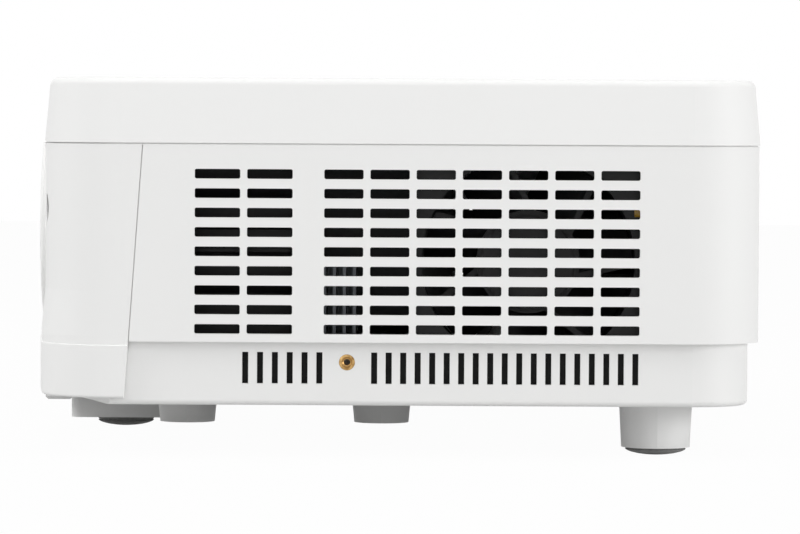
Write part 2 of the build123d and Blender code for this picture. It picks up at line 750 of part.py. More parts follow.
def make_lens_tube():
    tube = ring_y(lens_tube_r, lens_bore_r, (focus_ring_y + fit_gap, tube_rear_y))
    return tube + ring_y(lens_flange_r, lens_bore_r, (tube_rear_y - lens_flange, tube_rear_y))


def make_focus_ring():
    ring = ring_y(focus_ring_r, lens_tube_r + run_gap, (focus_ring_y, focus_ring_y + focus_ring_width))
    ring += ring_y(cell_r, glass_r, (lens_front_y, focus_ring_y))
    return ring + ring_y(cell_r, cell_lip_r, (lens_front_y, lens_front_y + cell_lip))


def make_front_lens():
    apex = lens_front_y + fit_gap
    dome = Pos(lens_x, apex + glass_round, lens_z) * Sphere(glass_round)
    return along_y(lens_x, lens_z, (apex - 1, glass_edge_y), glass_r) & dome


def make_rear_lens():
    middle = (zoom_ring_y + zoom_ring_width + tube_rear_y) / 2
    lens = along_y(lens_x, lens_z, span(middle, rear_glass_thickness), lens_bore_r)
    front = Pos(lens_x, middle - rear_glass_crown + glass_round, lens_z) * Sphere(glass_round)
    rear = Pos(lens_x, middle + rear_glass_crown - glass_round, lens_z) * Sphere(glass_round)
    return lens & front & rear


def make_zoom_ring():
    return ring_y(zoom_ring_r, lens_tube_r + run_gap, (zoom_ring_y, zoom_ring_y + zoom_ring_width))


def make_lens_surround():
    rear_y = front_y + surround_depth
    ring = along_y(lens_x, lens_z, (front_y - 1, rear_y), lens_mouth_r + surround_rim)
    ring &= band_body(crease_z, band_inset, crease_step) + lens_boss()
    funnel = Cone(cell_r + 1, lens_mouth_r, surround_depth)
    return ring - Pos(lens_x, (front_y + rear_y) / 2, lens_z) * Rot(90, 0, 0) * funnel


# ---- optical engine, colour wheel, lamp ----
engine_x = span(lens_x, engine_width)
engine_y = (engine_front_y, engine_front_y + engine_length)
engine_z = (engine_low_z, engine_high_z)
leg_r = 4.0
leg_inset = 6.0
tunnel_outer = 12.0
tunnel_inner = 8.0
wheel_gap = 0.8             # from the light tunnel to the colour wheel
wheel_thickness = 1.0
wheel_hub_r = 6.0
wheel_shaft_r = 1.5
wheel_hub_y = (wheel_y - 1.5, wheel_y + 3)
wheel_motor_y = (wheel_hub_y[1] + fit_gap, wheel_y + 12)
motor_stand_width = 14.0
motor_stand_sheet = 2.0
motor_stand_foot = 5.0
motor_stand_rise = 9.0      # above the axis
chip_board = 1.6
chip_board_rim = 4.0        # of the board above and beside the heat sink
sink_base = 4.0
lamp_x = span(beam_x, 2 * lamp_half)
lamp_box_y = (lamp_y, lamp_y + lamp_length)
lamp_z = (engine_low_z, engine_low_z + 2 * lamp_half)


def make_optical_engine():
    inner = [(low + engine_wall, high - engine_wall) for low, high in (engine_x, engine_y, engine_z)]
    shell = block(engine_x, engine_y, engine_z) - block(*inner)
    shell -= along_y(lens_x, lens_z, (engine_y[0] - 1, inner[1][0] + 1), lens_bore_r)
    tunnel_y = (engine_y[1] - 1, wheel_y - wheel_gap)
    shell += block(span(beam_x, tunnel_outer), tunnel_y, span(lens_z, tunnel_outer))
    shell -= block(span(beam_x, tunnel_inner), (inner[1][1] - 1, wheel_y), span(lens_z, tunnel_inner))
    for x, y in corners(engine_x, engine_y, leg_inset):
        shell += upright(x, y, (floor_z, engine_low_z), leg_r)
    board_y = (sink_front_y, sink_back_y + chip_board_rim)
    board_z = (engine_low_z + chip_board_rim, sink_high_z + chip_board_rim)
    board = block((engine_x[1], engine_x[1] + chip_board), board_y, board_z)
    return Compound(children=[shell, board])


def make_heatsink():
    base_x = (engine_x[1] + chip_board, engine_x[1] + chip_board + sink_base)
    sink = block(base_x, (sink_front_y, sink_back_y), (sink_low_z, sink_high_z))
    sink_outer_x = half_width - sink_to_side
    count = int((sink_back_y - sink_front_y - fin_thickness) / fin_pitch) + 1
    for step in range(count):
        y = sink_back_y - step * fin_pitch
        sink += block((base_x[0], sink_outer_x), (y - fin_thickness, y), (sink_low_z, sink_high_z))
    return sink


def make_colour_wheel():
    wheel = along_y(wheel_x, lens_z, (wheel_y, wheel_y + wheel_thickness), wheel_r)
    wheel += along_y(wheel_x, lens_z, wheel_hub_y, wheel_hub_r)
    bore_y = (wheel_hub_y[0] - 1, wheel_hub_y[1] + 1)
    return wheel - along_y(wheel_x, lens_z, bore_y, wheel_shaft_r + run_gap)


def make_wheel_motor():
    motor = along_y(wheel_x, lens_z, wheel_motor_y, wheel_hub_r + 2)
    motor += along_y(wheel_x, lens_z, (wheel_hub_y[0], wheel_motor_y[0] + 1), wheel_shaft_r)
    stand_x = span(wheel_x, motor_stand_width)
    stand_y = wheel_motor_y[1]
    motor += block(stand_x, (stand_y, stand_y + motor_stand_sheet), (floor_z, lens_z + motor_stand_rise))
    foot_z = (floor_z, floor_z + motor_stand_sheet)
    return motor + block(stand_x, (stand_y, stand_y + motor_stand_foot), foot_z)


lamp_vents = 5
lamp_vent_y = (lamp_y + 12, lamp_y + 40)
reflector_wall = 1.8
reflector_depth = 27.0
reflector_neck_r = 7.0
reflector_belly = 0.78      # of the rim's radius, where the bowl bends
reflector_belly_y = 15.0
reflector_base_r = 9.0
reflector_base = 18.0
burner_r = 2.5
burner_length = 16.0
bulb_r = 5.0
bulb_reach = 10.0           # from the neck forward to the bulb


def make_lamp_housing():
    inner = [(low + wall, high - wall) for low, high in (lamp_x, lamp_box_y, lamp_z)]
    shell = block(lamp_x, lamp_box_y, lamp_z) - block(*inner)
    shell -= along_y(beam_x, lens_z, (lamp_y - 1, lamp_y + wall + 1), reflector_r - 2)
    for step in range(lamp_vents):
        vent_z = span(lens_z + (step - lamp_vents // 2) * slot_row_pitch, slot_height)
        shell -= block((lamp_x[1] - wall - 1, lamp_x[1] + 1), lamp_vent_y, vent_z)
    for x, y in corners(lamp_x, lamp_box_y, leg_inset):
        shell += upright(x, y, (floor_z, lamp_z[0]), leg_r)
    return shell


def make_lamp_reflector():
    rim_y = lamp_y + wall
    neck_y = rim_y + reflector_depth
    belly_r = reflector_r * reflector_belly
    neck_bore_r = reflector_neck_r - reflector_wall
    rim_bore_r = reflector_r - reflector_wall
    bend = (belly_r, rim_y + reflector_belly_y)
    inner_bend = (belly_r - reflector_wall, rim_y + reflector_belly_y - 1)
    outer = ThreePointArc((reflector_r, rim_y), bend, (reflector_neck_r, neck_y))
    inner = ThreePointArc((neck_bore_r, neck_y), inner_bend, (rim_bore_r, rim_y))
    close_back = Line((reflector_neck_r, neck_y), (neck_bore_r, neck_y))
    close_front = Line((rim_bore_r, rim_y), (reflector_r, rim_y))
    bowl = revolve(make_face([outer, close_back, inner, close_front]), Axis.Y)
    base = along_y(0, 0, (neck_y, neck_y + reflector_base), reflector_base_r)
    burner = along_y(0, 0, (neck_y - burner_length, neck_y), burner_r)
    bulb = Pos(0, neck_y - bulb_reach, 0) * Sphere(bulb_r)
    place = Pos(beam_x, 0, lens_z)
    return Compound(children=[place * bowl, place * (base + burner + bulb)])


baffle_sheet = 1.2
baffle_to_side = 19.0       # dark sheet behind the front grille, from the side of the body
baffle_x = (half_width - baffle_to_side, half_width - baffle_to_side + baffle_sheet)
baffle_y = (-64.0, -31.0)
baffle_top = 92.0
baffle_blades = 5
baffle_blade_pitch = 10.0
baffle_blade_width = 9.8
baffle_blade_tilt = -20.0
baffle_first_blade = 4.0    # above the lowest slots


def make_light_baffle():
    baffle = block(baffle_x, baffle_y, (floor_z, baffle_top))
    blade = Rot(0, baffle_blade_tilt, 0) * Box(baffle_blade_width, baffle_y[1] - baffle_y[0], 1.0)
    blade_x = baffle_x[1] + (baffle_blade_width - 1) / 2
    for step in range(baffle_blades):
        height = slot_low_z + baffle_first_blade + step * baffle_blade_pitch
        baffle += Pos(blade_x, (baffle_y[0] + baffle_y[1]) / 2, height) * blade
    return baffle


# ---- fans ----
fan_rim = 1.8               # least wall of a fan frame
tip_gap = 0.8
fan_mount = 2.0             # thickness of a fan's spokes
fan_pin_r = 1.5
fan_face = 1.0              # how far the rotor stays behind the frame's face
spoke_width = 3.0
blade_pitch_angle = 38.0
fan_blades = 7
spoke_count = 3
pin_end = 4.0               # fan pin short of the frame's face


def fan_frame(size, depth, hub_r):
    """Square frame with a spoked motor mount at its back and the rotor's pin."""
    bore_r = size / 2 - fan_rim
    frame = extrude(RectangleRounded(size, size, fan_corner_r), depth)
    frame -= upright(0, 0, (-1, depth + 1), bore_r)
    frame += upright(0, 0, (0, fan_mount), hub_r)
    for step in range(spoke_count):
        spoke = block((hub_r - 1, bore_r + 0.5), span(0, spoke_width), (0, fan_mount))
        frame += Rot(0, 0, 90 + 360 * step / spoke_count) * spoke
    frame += upright(0, 0, (0, depth - pin_end), fan_pin_r)
    for x, y in corners(span(0, size), span(0, size), fan_corner_r + 1):
        frame -= upright(x, y, (-1, depth + 1), fan_corner_r / 2)
    return frame


def fan_rotor(size, depth, hub_r):
    """Hub with pitched blades that turns on the frame's pin."""
    z = (fan_mount + fit_gap, depth - fan_face)
    tip_r = size / 2 - fan_rim - tip_gap
    rotor = upright(0, 0, z, hub_r)
    blade = Box(tip_r + 2, blade_thickness, 3 * depth)
    blade = Pos(tip_r / 2 + 1, 0, sum(z) / 2) * Rot(blade_pitch_angle, 0, 0) * blade
    slice_z = (z[0] + 1, z[1] - 1)
    swept = upright(0, 0, slice_z, tip_r) - upright(0, 0, slice_z, hub_r - 1)
    blade = blade & swept
    for step in range(fan_blades):
        rotor += Rot(0, 0, 360 * step / fan_blades) * blade
    return rotor - upright(0, 0, (0, depth - pin_end + fit_gap), fan_pin_r + run_gap)


exhaust_hub_r = 16.0
intake_hub_r = 12.0
exhaust_place = Pos(exhaust_x[0], exhaust_y, fan_low_z + exhaust_size / 2) * Rot(0, 90, 0)
intake_place = Pos(intake_x[1], intake_y, fan_low_z + intake_size / 2) * Rot(0, -90, 0)
blower_z = (floor_z, floor_z + blower_height)
blower_wall = 1.5
blower_bore_r = 22.0
blower_inlet_r = 15.0
blower_wheel_r = 20.0
blower_vanes = 16
blower_mouth = 4.0          # from the axis to the near edge of its outlet
blower_hub_r = 8.0
blower_disc = 1.2
blower_top_gap = 0.7


def make_blower_housing():
    x = span(blower_x, blower_size)
    y = span(blower_y, blower_size)
    inner_z = (blower_z[0] + blower_wall, blower_z[1] - blower_wall)
    case = block(x, y, blower_z) - upright(blower_x, blower_y, inner_z, blower_bore_r)
    case -= upright(blower_x, blower_y, (inner_z[0], blower_z[1] + 1), blower_inlet_r)
    case -= block((blower_x, x[1] + 1), (blower_y + blower_mouth, blower_y + blower_bore_r), inner_z)
    return case + upright(blower_x, blower_y, (blower_z[0], blower_z[1] - pin_end), fan_pin_r)


def make_blower_wheel():
    z = (blower_z[0] + blower_wall + fit_gap, blower_z[1] - blower_wall - blower_top_gap)
    wheel = upright(blower_x, blower_y, (z[0], z[0] + blower_disc), blower_wheel_r)
    wheel += upright(blower_x, blower_y, (z[0], z[1] - 0.5), blower_hub_r)
    vane = block((blower_inlet_r - 1, blower_wheel_r - run_gap), span(0, 1.0), z)
    for step in range(blower_vanes):
        wheel += Pos(blower_x, blower_y, 0) * Rot(0, 0, 360 * step / blower_vanes) * vane
    bore = upright(blower_x, blower_y, (0, blower_z[1] - pin_end + fit_gap), fan_pin_r + run_gap)
    return wheel - bore


# ---- boards ----
def make_board(x, y, z):
    return block(x, y, (z, z + board_thickness))


chip_xs = (-96.0, -66.0, -36.0)
chip_size = 18.0
chip_height = 2.2
chip_row_y = 56.0
board_sink_x = 4.0
board_sink_size = 26.0
board_sink_base = 3.0
board_sink_height = 14.0
board_sink_fins = 7
board_sink_fin = 1.2
can_places = [(x, 78.0) for x in (-112.0, -104.0, 30.0)]    # capacitors
can_r = 3.2
can_height = 10.0
coil_xs = (-90.0, -58.0)    # transformers
coil_row_y = -62.0
coil_size = (24.0, 28.0)
coil_height = 24.0
big_can_xs = (-116.0, -34.0)
big_can_r = 7.0
power_part_height = 26.0
sheet_ys = (-86.0, -42.0)   # upright cooling sheets
sheet_x = (-104.0, -48.0)
sheet_thickness = 3.0


def make_main_board_parts():
    foot = board_top_z
    row = span(chip_row_y, chip_size)
    parts = [block(span(x, chip_size), row, (foot, foot + chip_height)) for x in chip_xs]
    sink_y = span(chip_row_y, board_sink_size)
    sink = block(span(board_sink_x, board_sink_size), sink_y, (foot, foot + board_sink_base))
    pitch = (board_sink_size - 2) / (board_sink_fins - 1)
    for step in range(board_sink_fins):
        x = board_sink_x + (step - (board_sink_fins - 1) / 2) * pitch
        sink += block(span(x, board_sink_fin), sink_y, (foot, foot + board_sink_height))
    parts.append(sink)
    for x, y in can_places:
        parts.append(upright(x, y, (foot, foot + can_height), can_r))
    return Compound(children=parts)


def make_power_board_parts():
    foot = power_board_z + board_thickness
    top = foot + power_part_height
    coil_y = span(coil_row_y, coil_size[1])
    parts = [block(span(x, coil_size[0]), coil_y, (foot, foot + coil_height)) for x in coil_xs]
    for x in big_can_xs:
        parts.append(upright(x, coil_row_y, (foot, top), big_can_r))
    for y in sheet_ys:
        parts.append(block(sheet_x, span(y, sheet_thickness), (foot, top)))
    return Compound(children=parts)


speaker_rim = 2.0           # of its square frame round the cone
speaker_face = 4.0
speaker_magnet = 0.62       # of the cone's radius
speaker_cap_r = 5.0
speaker_cap_height = 2.4


def make_speaker():
    x = speaker_x
    face = x[0] + speaker_face
    size = 2 * (speaker_r + speaker_rim)
    frame = block((x[0], face), span(speaker_y, size), span(speaker_z, size))
    frame -= along_x(speaker_y, speaker_z, (x[0] - 1, face - 1), speaker_r - 1)
    frame += along_x(speaker_y, speaker_z, (face, x[1]), speaker_r * speaker_magnet)
    cap = Cone(speaker_r - 2, speaker_cap_r, speaker_cap_height)
    cap = Pos(face - 1, speaker_y, speaker_z) * Rot(0, -90, 0) * cap
    return frame + cap


# ---- keypad ----
switch_height = 2.6
switch_r = 2.2
stem_r = 1.2
key_top_gap = 0.1


def make_keypad_board():
    board = block(pocket_x, pocket_y, (keypad_board_z - board_thickness, keypad_board_z))
    for x, y, r in key_places.values():
        board += upright(x, y, (keypad_board_z, keypad_board_z + switch_height), switch_r)
    return board


def make_key(x, y, r):
    flange_z = (cover_top_under - fit_gap - key_skirt, cover_top_under - fit_gap)
    cap = upright(x, y, (flange_z[0], body_height - key_top_gap), r)
    cap = fillet(cap.faces().sort_by(Axis.Z)[-1].edges(), key_gap)
    key = cap + upright(x, y, flange_z, r + key_flange)
    stem_low = keypad_board_z + switch_height + key_travel + fit_gap
    return key + upright(x, y, (stem_low, flange_z[0]), stem_r)


def make_status_lights():
    top = pocket_z - run_gap
    lights = [upright(x, light_y, (keypad_board_z, top), lamp_window_r - run_gap) for x in light_xs]
    return Compound(children=lights)


# ---- disc drawer ----
case_x = (-inner_band_half + fit_gap, drive_inner_x)
case_y = span(drive_y, 2 * drive_case_half)
tray_x = (-band_half + bezel_plate, -band_half + bezel_plate + tray_length)
disc_x = tray_x[0] + tray_rim + disc_r
tray_y = span(drive_y, 2 * tray_half)
recess_z = tray_top_z - recess_depth
tray_skin = 2.2             # under the disc recess
tray_side = 2.0
web_z = recess_z - small_recess_depth - tray_skin
motor_gap = 1.2             # from the motor to the window's end
frame_sheet = 0.8
frame_z = (tray_low_z + 0.4, tray_low_z + 0.4 + frame_sheet)
frame_x = (disc_x - spindle_motor_r - motor_gap - 0.8, disc_x + sled_start + sled_length + sled_travel + 1.9)
ear = 1.2
ear_top = web_z - 0.2
rod_z = frame_z[1] + sled_screw_r + 0.15
sled_z = (frame_z[1] + 0.4, frame_z[1] + 0.4 + sled_height)
sled_x = (disc_x + sled_start, disc_x + sled_start + sled_length)
eject_z = (drive_low_z + drive_high_z) / 2
eject_flange_r = 3.0
eject_flange = 0.8
eject_spring_room = 1.1
eject_pocket = fit_gap + eject_flange + eject_travel + eject_spring_room
eject_proud = 0.2           # button in front of the drawer
shaft_r = 1.5
motor_top = frame_z[1] + 3.6
seat_z = recess_z + 0.1     # underside of the disc, just above the recess
hub_low_z = seat_z - 0.9
hub_seat_r = 13.0
hub_rise = 2.0
drive_post_inset = 7.0
drive_post_spread = 18.0
drive_post_x = drive_inner_x - drive_post_inset
drive_post_places = [(drive_post_x, y) for y in span(drive_y, 2 * drive_post_spread)]
tray_end_wall = 0.9
frame_end = 4.0             # closed end of the traverse frame's window
frame_window = 24.0
frame_clearance = 1.5
sled_side = 2.6             # of the sled beyond its rod and its screw
sled_lens_r = 2.4


def make_drive_case():
    case = block(case_x, case_y, (drive_low_z, drive_high_z))
    inner_x = (case_x[0] - 1, case_x[1] - drive_sheet)
    inner_y = (case_y[0] + drive_sheet, case_y[1] - drive_sheet)
    return case - block(inner_x, inner_y, (drive_low_z + drive_sheet, drive_high_z - drive_sheet))


def make_drawer_rails():
    z = span((tray_low_z + tray_top_z) / 2, rail_height)
    rails = []
    for side in (-1, 1):
        rail_near = tray_half + slide_gap
        edges = (drive_y + side * rail_near, drive_y + side * (rail_near + rail_thickness))
        rails.append(block((tray_x[0] + 2, tray_x[0] + 2 + rail_length), (min(edges), max(edges)), z))
    return Compound(children=rails)


def make_disc_tray():
    tray = block(tray_x, tray_y, (tray_low_z, tray_top_z))
    tray -= upright(disc_x, drive_y, (recess_z, tray_top_z + 1), disc_r)
    tray -= upright(disc_x, drive_y, (recess_z - small_recess_depth, tray_top_z), small_disc_r)
    hollow_x = (tray_x[0] + tray_side + 1, tray_x[1] - tray_end_wall)
    hollow_y = (tray_y[0] + tray_side, tray_y[1] - tray_side)
    tray -= block(hollow_x, hollow_y, (tray_low_z - 1, web_z))
    window_end = (disc_x - spindle_motor_r - motor_gap, frame_x[1] - ear)
    tray -= block(window_end, span(drive_y, 2 * window_half), (tray_low_z, tray_top_z))
    pocket = (tray_x[0] - 1, tray_x[0] + eject_pocket)
    reach = eject_flange_r + slide_gap
    return tray - along_x(drive_y + eject_y, eject_z, pocket, reach)


def make_drawer_front():
    plate = block((-band_half, tray_x[0]), case_y, (drive_low_z, drive_high_z))
    plate = chamfer(plate.faces().sort_by(Axis.X)[0].edges(), 0.5)
    plate -= along_x(drive_y + eject_y, eject_z, (-half_width - 1, tray_x[0] + 1), eject_r + key_gap)
    return plate


def make_eject_button():
    flange_x = (tray_x[0] + fit_gap, tray_x[0] + fit_gap + eject_flange)
    button = along_x(drive_y + eject_y, eject_z, (-band_half - eject_proud, flange_x[1]), eject_r)
    return button + along_x(drive_y + eject_y, eject_z, flange_x, eject_flange_r)


def make_traverse_frame():
    y = (drive_y - window_half + frame_clearance, drive_y + window_half)
    frame = block(frame_x, y, frame_z)
    opening_z = (tray_low_z, frame_z[1] + 1)
    frame -= block((sled_x[0], frame_x[1] - frame_end), span(drive_y, frame_window), opening_z)
    for x in ((frame_x[0], frame_x[0] + ear), (frame_x[1] - ear, frame_x[1])):
        frame += block(x, y, (frame_z[0], ear_top))
    for side in (-1, 1):
        frame -= along_x(drive_y + side * sled_rod_spread, rod_z, frame_x, sled_rod_r)
    frame -= along_x(drive_y + sled_screw_spread, rod_z, frame_x, sled_screw_r + run_gap)
    rods = [along_x(drive_y + side * sled_rod_spread, rod_z, frame_x, sled_rod_r) for side in (-1, 1)]
    motor = upright(disc_x, drive_y, (frame_z[1], motor_top), spindle_motor_r)
    motor += upright(disc_x, drive_y, (motor_top, seat_z + 1), shaft_r)
    return Compound(children=[frame, *rods, motor])


def make_disc_hub():
    hub = upright(disc_x, drive_y, (hub_low_z, seat_z), hub_seat_r)
    hub += upright(disc_x, drive_y, (seat_z, seat_z + hub_rise), hub_r)
    return hub - upright(disc_x, drive_y, (hub_low_z - 1, seat_z + 1 + fit_gap), shaft_r + run_gap)


def make_pickup_sled():
    y = (drive_y - sled_rod_spread - sled_side, drive_y + sled_screw_spread + sled_side)
    sled = block(sled_x, y, sled_z)
    through = (sled_x[0] - 1, sled_x[1] + 1)
    for side in (-1, 1):
        sled -= along_x(drive_y + side * sled_rod_spread, rod_z, through, sled_rod_r + run_gap)
    sled -= along_x(drive_y + sled_screw_spread, rod_z, through, sled_screw_r + run_gap)
    lens_place = (sled_x[0] + sled_x[1]) / 2
    return sled + upright(lens_place, drive_y, (sled_z[1], sled_z[1] + 0.5), sled_lens_r)


def make_sled_screw():
    return along_x(drive_y + sled_screw_spread, rod_z, frame_x, sled_screw_r)


# ---- feet ----
spigot_r = 2.5
pad_floor = 1.6


def make_foot_pad(x, y, r):
    pad = upright(x, y, (0, foot_pad_height), r)
    pad = fillet(pad.faces().sort_by(Axis.Z)[0].edges(), foot_pad_round)
    return pad - upright(x, y, (pad_floor, foot_pad_height + 1), spigot_r + run_gap)


def make_foot_screw(x, y):
    screw = upright(x, y, (foot_pad_height + fit_gap, screw_boss_top - fit_gap), foot_screw_r)
    return screw + upright(x, y, (pad_floor + fit_gap, foot_pad_height + fit_gap + 1), spigot_r)


def make_thread_inserts():
    x = (base_half - side_insert_length, base_half)
    side = along_x(side_insert_y, side_insert_z, x, side_insert_r)
    side -= along_x(side_insert_y, side_insert_z, (x[0] - 1, x[1] + 1), side_insert_bore_r)
    inserts = [side]
    z = (mount_boss_low_z, mount_boss_low_z + mount_insert_length)
    for px, py in mount_places:
        tube = upright(px, py, z, mount_insert_r) - upright(px, py, (0, floor_z), mount_insert_bore_r)
        inserts.append(tube)
    return Compound(children=inserts)


hex_r = 1.3                 # socket in a screw's head
hex_depth = 1.2


def make_housing_screws():
    screws = []
    for x, y in screw_places:
        screw = upright(x, y, (screw_head_z, screw_head_z + screw_head_height), screw_head_r)
        screw += upright(x, y, (screw_head_z + 1, overhang_z + tab_height - screw_r), screw_r)
        drive = extrude(RegularPolygon(hex_r, 6), hex_depth)
        screws.append(screw - Pos(x, y, screw_head_z) * drive)
    return Compound(children=screws)


def main():
    os.makedirs("parts", exist_ok=True)
    save(make_top_cover(), "top_cover")
    save(make_main_housing(), "main_housing")
    save(make_base_pan(), "base_pan")
    save(make_front_bezel(), "front_bezel")
    save(make_rear_panel(), "rear_panel")
    save(make_connector_shells(), "connector_shells")
    save(make_jacks(), "audio_video_jacks")
    save(make_mains_inlet(), "mains_inlet")
    save(make_lens_surround(), "lens_surround")
    save(ir_plug(ir_r, ir_recess, ir_thickness), "remote_window")
    save(make_thread_inserts(), "thread_inserts")
    save(make_housing_screws(), "housing_screws")
    save(make_lens_tube(), "lens_tube")
    save(make_focus_ring(), "focus_ring")
    save(make_zoom_ring(), "zoom_ring")
    save(make_front_lens(), "front_lens")
    save(make_rear_lens(), "rear_lens")
    save(make_optical_engine(), "optical_engine")
    save(make_heatsink(), "chip_heatsink")
    save(make_colour_wheel(), "colour_wheel")
    save(make_wheel_motor(), "colour_wheel_motor")
    save(make_lamp_housing(), "lamp_housing")
    save(make_lamp_reflector(), "lamp_reflector")
    save(make_light_baffle(), "light_baffle")
    save(exhaust_place * fan_frame(exhaust_size, exhaust_depth, exhaust_hub_r), "exhaust_fan_frame")
    save(exhaust_place * fan_rotor(exhaust_size, exhaust_depth, exhaust_hub_r), "exhaust_fan_rotor")
    save(intake_place * fan_frame(intake_size, intake_depth, intake_hub_r), "intake_fan_frame")
    save(intake_place * fan_rotor(intake_size, intake_depth, intake_hub_r), "intake_fan_rotor")
    save(make_blower_housing(), "blower_housing")
    save(make_blower_wheel(), "blower_wheel")
    save(make_board(main_board_x, main_board_y, main_board_z), "main_board")
    save(make_main_board_parts(), "main_board_parts")
    save(make_board(power_board_x, power_board_y, power_board_z), "power_board")
    save(make_power_board_parts(), "power_board_parts")
    save(make_speaker(), "speaker")
    save(make_keypad_board(), "keypad_board")
    save(make_status_lights(), "status_lights")
    for node, place in key_places.items():
        save(make_key(*place), node)
    save(make_drive_case(), "drive_case")
    save(make_drawer_rails(), "drawer_rails")
    save(make_disc_tray(), "disc_tray")
    save(make_drawer_front(), "drawer_front")
    save(make_eject_button(), "eject_button")
    save(make_traverse_frame(), "traverse_frame")
    save(make_disc_hub(), "disc_hub")
    save(make_pickup_sled(), "pickup_sled")
    save(make_sled_screw(), "sled_screw")
    feet = {
        "front_foot": (0, front_foot_y, front_pad_r),
        "near_foot": (rear_foot_x, rear_foot_y, rear_pad_r),
        "far_foot": (-rear_foot_x, rear_foot_y, rear_pad_r),
    }
    for name, (x, y, r) in feet.items():
        save(make_foot_pad(x, y, r), name + "_pad")
        save(make_foot_screw(x, y), name + "_screw")


main()
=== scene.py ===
"""Looks of a compact lamp projector with a disc player in its far side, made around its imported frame."""
import bmesh
import bpy
import json
import math
from bpy.props import FloatProperty, FloatVectorProperty, IntProperty, PointerProperty
from mathutils import Matrix, Vector


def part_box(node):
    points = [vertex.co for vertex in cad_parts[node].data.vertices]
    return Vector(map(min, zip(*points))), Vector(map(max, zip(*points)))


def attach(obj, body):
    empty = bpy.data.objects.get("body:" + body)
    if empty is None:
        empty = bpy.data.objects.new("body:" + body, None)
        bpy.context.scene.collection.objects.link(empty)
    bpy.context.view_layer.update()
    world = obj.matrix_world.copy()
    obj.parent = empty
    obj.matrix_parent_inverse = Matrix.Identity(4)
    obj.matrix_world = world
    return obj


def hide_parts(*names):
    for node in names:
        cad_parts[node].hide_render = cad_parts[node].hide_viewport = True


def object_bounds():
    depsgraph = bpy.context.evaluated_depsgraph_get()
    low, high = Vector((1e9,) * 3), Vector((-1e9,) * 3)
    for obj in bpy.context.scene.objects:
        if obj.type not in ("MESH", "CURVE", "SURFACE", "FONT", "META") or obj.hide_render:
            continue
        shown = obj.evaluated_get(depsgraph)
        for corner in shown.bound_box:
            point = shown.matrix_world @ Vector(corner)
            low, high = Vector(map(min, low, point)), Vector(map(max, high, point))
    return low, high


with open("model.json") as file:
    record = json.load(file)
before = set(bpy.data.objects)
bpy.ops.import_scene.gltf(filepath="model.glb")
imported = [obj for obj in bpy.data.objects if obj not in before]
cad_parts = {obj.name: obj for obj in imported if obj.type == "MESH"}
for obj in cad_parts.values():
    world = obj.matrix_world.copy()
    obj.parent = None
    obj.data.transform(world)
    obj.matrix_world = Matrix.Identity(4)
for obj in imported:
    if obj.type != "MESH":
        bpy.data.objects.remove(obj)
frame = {"nodes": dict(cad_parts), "record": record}
cad_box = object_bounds()
nodes = frame["nodes"]

bl_info = {
    "name": "Disc projector looks",
    "version": (1, 0, 0),
    "blender": (4, 5, 0),
    "location": "View3D > Sidebar > Projector",
    "description": "Finishes and fine pieces of a lamp projector with a disc drawer",
    "category": "Object",
}

MM = 0.001


def mm(*points):
    """Points given in millimetres."""
    return [tuple(value * MM for value in point) for point in points]


def linear(code):
    """Linear red, green, blue and alpha of an sRGB hex colour, by the numbers of the sRGB standard."""
    shares = [int(code[start:start + 2], 16) / 255 for start in (1, 3, 5)]
    return [*(s / 12.92 if s <= 0.04045 else ((s + 0.055) / 1.055) ** 2.4 for s in shares), 1.0]


def colour(name, description, code):
    """A colour that a user would change."""
    return FloatVectorProperty(
        name=name, description=description, default=linear(code), subtype="COLOR", size=4,
        min=0.0, max=1.0
    )


def length(name, description, value):
    """A length in metres that a user would change."""
    return FloatProperty(
        name=name, description=description, default=value, min=0.0, unit="LENGTH", precision=5
    )


class ProjectorColours(bpy.types.PropertyGroup):
    """Colours of the finishes"""

    casing: colour("Casing", "Moulded ABS of the outer shells", "#EEEEED")
    keys: colour("Keys", "Moulded keys and eject button", "#B4B7BA")
    marks: colour("Marks", "Printed signs on the keys", "#4A4D52")
    panel: colour("Socket panel", "Powder coat of the plate behind the sockets", "#57595C")
    black: colour("Black plastic", "Rings, fans, drawer tray and inlet", "#19191A")
    surround: colour("Lens surround", "Metallic paint round the lens mouth", "#A9ABAE")
    rubber: colour("Rubber", "Pads of the three feet", "#8F8F8E")
    board: colour("Circuit board", "Solder resist of the boards", "#1E5B3A")
    brass: colour("Brass", "Threaded inserts", "#D3AE73")
    steel: colour("Plated steel", "Screws, rails and drive case", "#C9CACA")
    tape: colour("Tape", "Insulating tape on the fan and the transformers", "#D8A625")


class ProjectorSizes(bpy.types.PropertyGroup):
    """Sizes of the fine pieces"""

    rib_height: length("Rib height", "How far the grip ribs stand out of the focus and zoom rings", 0.65 * MM)
    rib_count: IntProperty(name="Ribs", description="Grip ribs round a ring", default=72, min=8, max=200)
    mark_height: length("Mark height", "Thickness of the signs printed on the keys", 0.06 * MM)
    foot_pitch: length("Foot pitch", "Rise of a foot's thread in one turn", 2.0 * MM)
    insert_pitch: length("Insert pitch", "Rise of an insert's thread in one turn", 0.5 * MM)
    wire: length("Wire", "Diameter of the wires inside", 1.3 * MM)


# ---- finishes ----

MIX_FIRST, MIX_SECOND, MIX_RESULT = 6, 7, 2  # sockets of a mix of two colours
WAVE_PERIOD = math.tau / 20  # in units, of a wave texture at a scale of 1
ABS_IOR = 1.53
NYLON_IOR = 1.53
ACRYLIC_IOR = 1.49
RESIN_IOR = 1.5  # powder coat, electrocoat and solder resist
GLASS_IOR = 1.52
RUBBER_IOR = 1.52
EPOXY_IOR = 1.55
POLYESTER_IOR = 1.6


